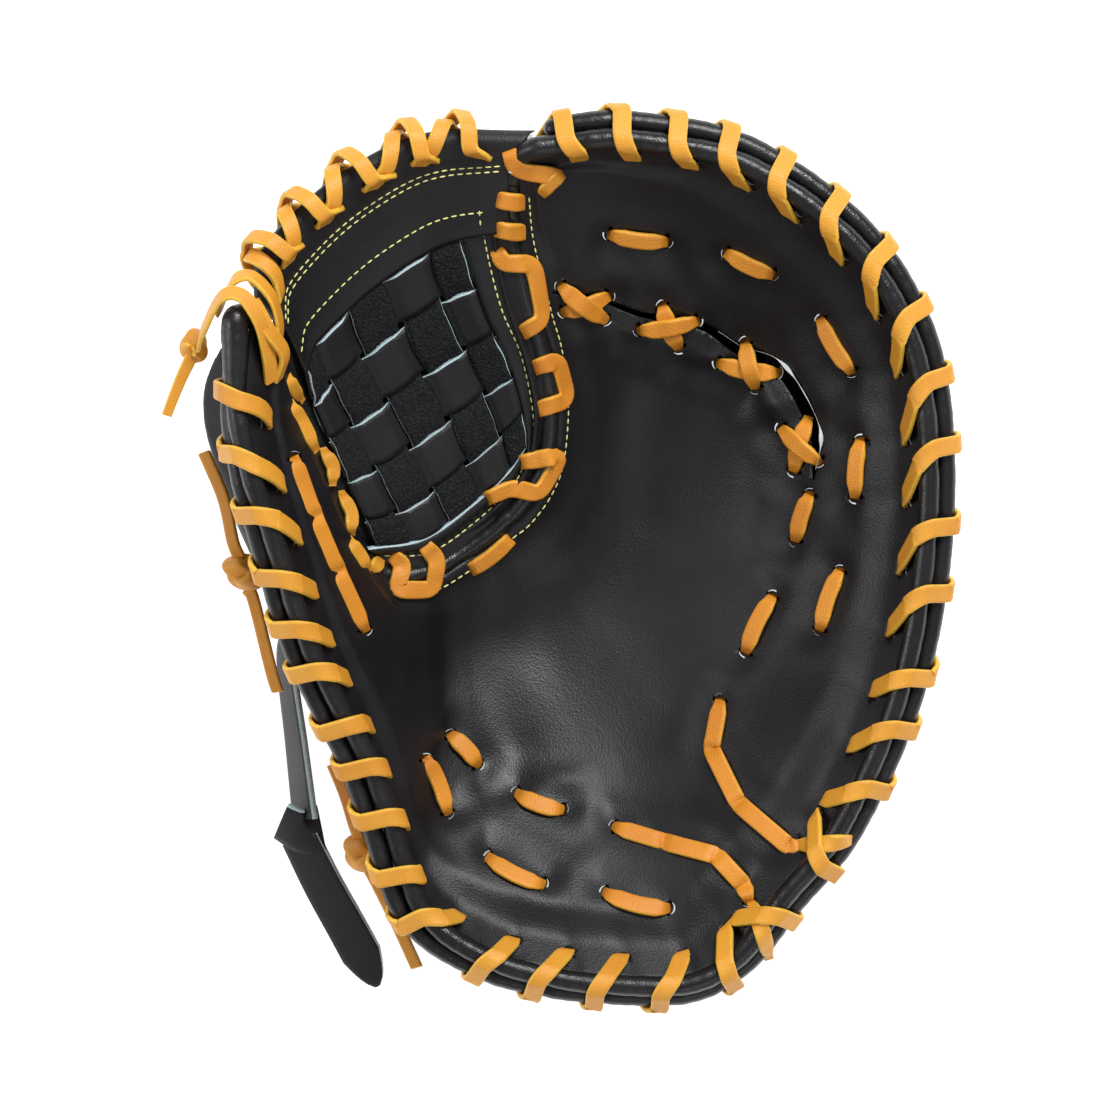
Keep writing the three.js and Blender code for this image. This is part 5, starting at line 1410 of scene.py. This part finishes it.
def make_lace_end(index):
    """A free end: its piece, its solid, its path from the knot, its exit and its length."""
    name = f"lace_end_{index + 1}"
    line = bent_line(place(LACE_ENDS[index]), 8)
    low, high = solid_box(name)
    line = line + (low + high) / 2 - (line.min(axis=0) + line.max(axis=0)) / 2
    ups = np.tile([-0.35, 0.1, 0.93], (len(line), 1))
    # the free end takes the darker copy of the lace, with painted shade in its colour
    piece = lace_object(f"lace_tail_{index + 1}", [line], [ups], CORD_WIDTH, CORD_THICKNESS,
                        MATERIALS["shaded_side_lace"])
    path = line[::-1] if index % 2 == 0 else line
    return piece, name, path, tuple(path[0]), float(walked(line)[-1])


def make_strap(name):
    """One part of the strap; the tail's end is round."""
    width, turns, rows = STRAP[name]
    points = bent_line(place(rows), 10)
    count = len(points)
    turn = blend(turns[0], turns[1], np.linspace(0, 1, count))
    outward = np.column_stack([-np.cos(turn), -0.3 * np.cos(turn), np.sin(turn)])
    way = unit(np.gradient(points, axis=0))
    side = unit(np.cross(way, outward))
    up = np.cross(side, way)
    across = np.linspace(-0.5, 0.5, 9)
    taper = np.ones(count)
    if name == "tail":
        taper = np.sqrt(np.clip((count - 1 - np.arange(count)) / 6, 0.02, 1))
    reach = across[None, :, None] * (width * taper)[:, None, None] * side[:, None]
    crown = 0.4 * MM * (1 - (2 * across) ** 2)[None, :, None]
    top = points[:, None] + reach + up[:, None] * (STRAP_THICKNESS / 2 + crown)
    bottom = points[:, None] + reach - up[:, None] * (STRAP_THICKNESS / 2 - crown)
    piece = sheet_object(f"wrist_strap_{name}", top, bottom, [MATERIALS["web"], MATERIALS["cut"]])
    return piece if name == "tail" else fitted(piece, f"strap_{name}", stretch=False)


# Seams
def make_seams():
    """Stitched rows on the web's leather and beside the notch's binding."""
    share = np.linspace(0, 1, 60)
    rows = []
    for t, end in SEAM_ROWS:
        front = np.interp((t - WINDOW["top"]) / (1 - WINDOW["top"]), TOP_BAND[:, 0], TOP_BAND[:, 2]) + 0.12
        rows.append(web_offset(blend(0.03, end, share), t, front * MM))
    rows.append(web_offset(0.945, blend(0.752, 0.70, share), 3.75 * MM))
    down = blend(0.69, 0.07, share)
    rows.append(web_offset(blend(window_right(down), 1.062, 0.42), down, 2.75 * MM))
    rows.append(web_offset(blend(0.05, 0.97, share), 0.018, 2.1 * MM))
    u = blend(0.30, 0.965, share)
    v = inboard_of_notch(u, 7.2 * MM)[:, None]
    face, normal = palm_face(u, v)
    rows.append(face[:, 0] + normal[:, 0] * 0.15 * MM)
    return grown("seams", rows, None, TREES["stitch"], {**STITCHES, "Material": MATERIALS["thread"]})


# Everything in its place
palm = make_palm()
back = make_back()
palm_binding, back_binding = make_palm_binding(), make_back_binding()
notch_binding = make_notch_binding()
web_base, web_frame, web_top = make_web_base(), make_web_frame(), make_top_band()
replaced = [(palm, "palm_shell"), (back, "back_shell"), (palm_binding, "palm_edge_roll"),
            (back_binding, "back_edge_roll"), (notch_binding, "notch_roll"), (web_base, "web_base_panel"),
            (web_frame, "web_frame_panel"), (web_top, "web_top_band")]
strips = []
for k in range(STRIP_COUNT):
    strips.append((make_strip(k, False), f"web_strip_across_{k + 1}"))
    strips.append((make_strip(k, True), f"web_strip_down_{k + 1}"))
ground = ground_of([palm, notch_binding, web_frame, web_top] + [strip for strip, _ in strips])
laces = make_laid_laces(ground)
side_lacing = make_side_lacing(ground, ground + ground_of([palm_binding, back_binding]))
raw_edges = make_raw_edges(ground_of([palm]))
web_hem = make_web_hem()
for name in RIM_TURNS:
    laces.append((make_rim_lace(name), f"rim_lace_{name}"))
laces.append((make_top_lace(), "web_top_lace"))
laces.append((make_tip_lacing(), "lace_knot_tip"))
for name, turn in KNOT_TURNS.items():
    laces.append((make_knot(f"lace_knot_{name}", turn), f"lace_knot_{name}"))
straps = [(make_strap(name), f"strap_{name}") for name in STRAP]
cords = [make_lace_end(k) for k in range(len(LACE_ENDS))]
seams = make_seams()

for piece, cad_name in replaced + strips + laces + straps:
    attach(piece, "root")
    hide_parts(cad_name)
for piece, cad_name, path, exit_at, length in cords:
    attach(piece, "root")
    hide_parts(cad_name)
    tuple(exit_at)
for extra in (seams, side_lacing, raw_edges, web_hem):
    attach(extra, "root")
for extra in ("holes", "slit", "back_holes"):
    bpy.data.objects.remove(bpy.data.objects[extra], do_unlink=True)

# The floor, the light and the camera
floor_mesh = bpy.data.meshes.new("floor")
floor_mesh.from_pydata([(-3, -3, 0), (3, -3, 0), (3, 3, 0), (-3, 3, 0)], [], [(0, 1, 2, 3)])
floor_mesh.materials.append(MATERIALS["floor"])
floor = put("floor", floor_mesh)
floor.location.z = -0.5 * MM

for name, (place_at, size, power) in LIGHTS.items():
    data = bpy.data.lights.new(name, "AREA")
    data.shape = "RECTANGLE"
    data.size, data.size_y = size
    data.energy = power
    lamp = put(name, data)
    lamp.location = place_at
    lamp.rotation_euler = (-Vector(place_at)).to_track_quat("-Z", "Y").to_euler()

world = bpy.data.worlds.new("Studio")
world.use_nodes = True
world.node_tree.nodes["Background"].inputs["Color"].default_value = (1.0, 1.0, 1.0, 1.0)
world.node_tree.nodes["Background"].inputs["Strength"].default_value = WORLD_STRENGTH
scene = bpy.context.scene
scene.world = world
scene.view_settings.view_transform = "Standard"

camera_data = bpy.data.cameras.new("camera")
camera_data.sensor_width = 36.0
camera_data.lens = 36.0 * CAMERA_SPAN_BELOW / CAMERA_SPAN
camera = put("camera", camera_data)
camera.location = (*CAMERA_AT, CAMERA_HEIGHT)
scene.camera = camera
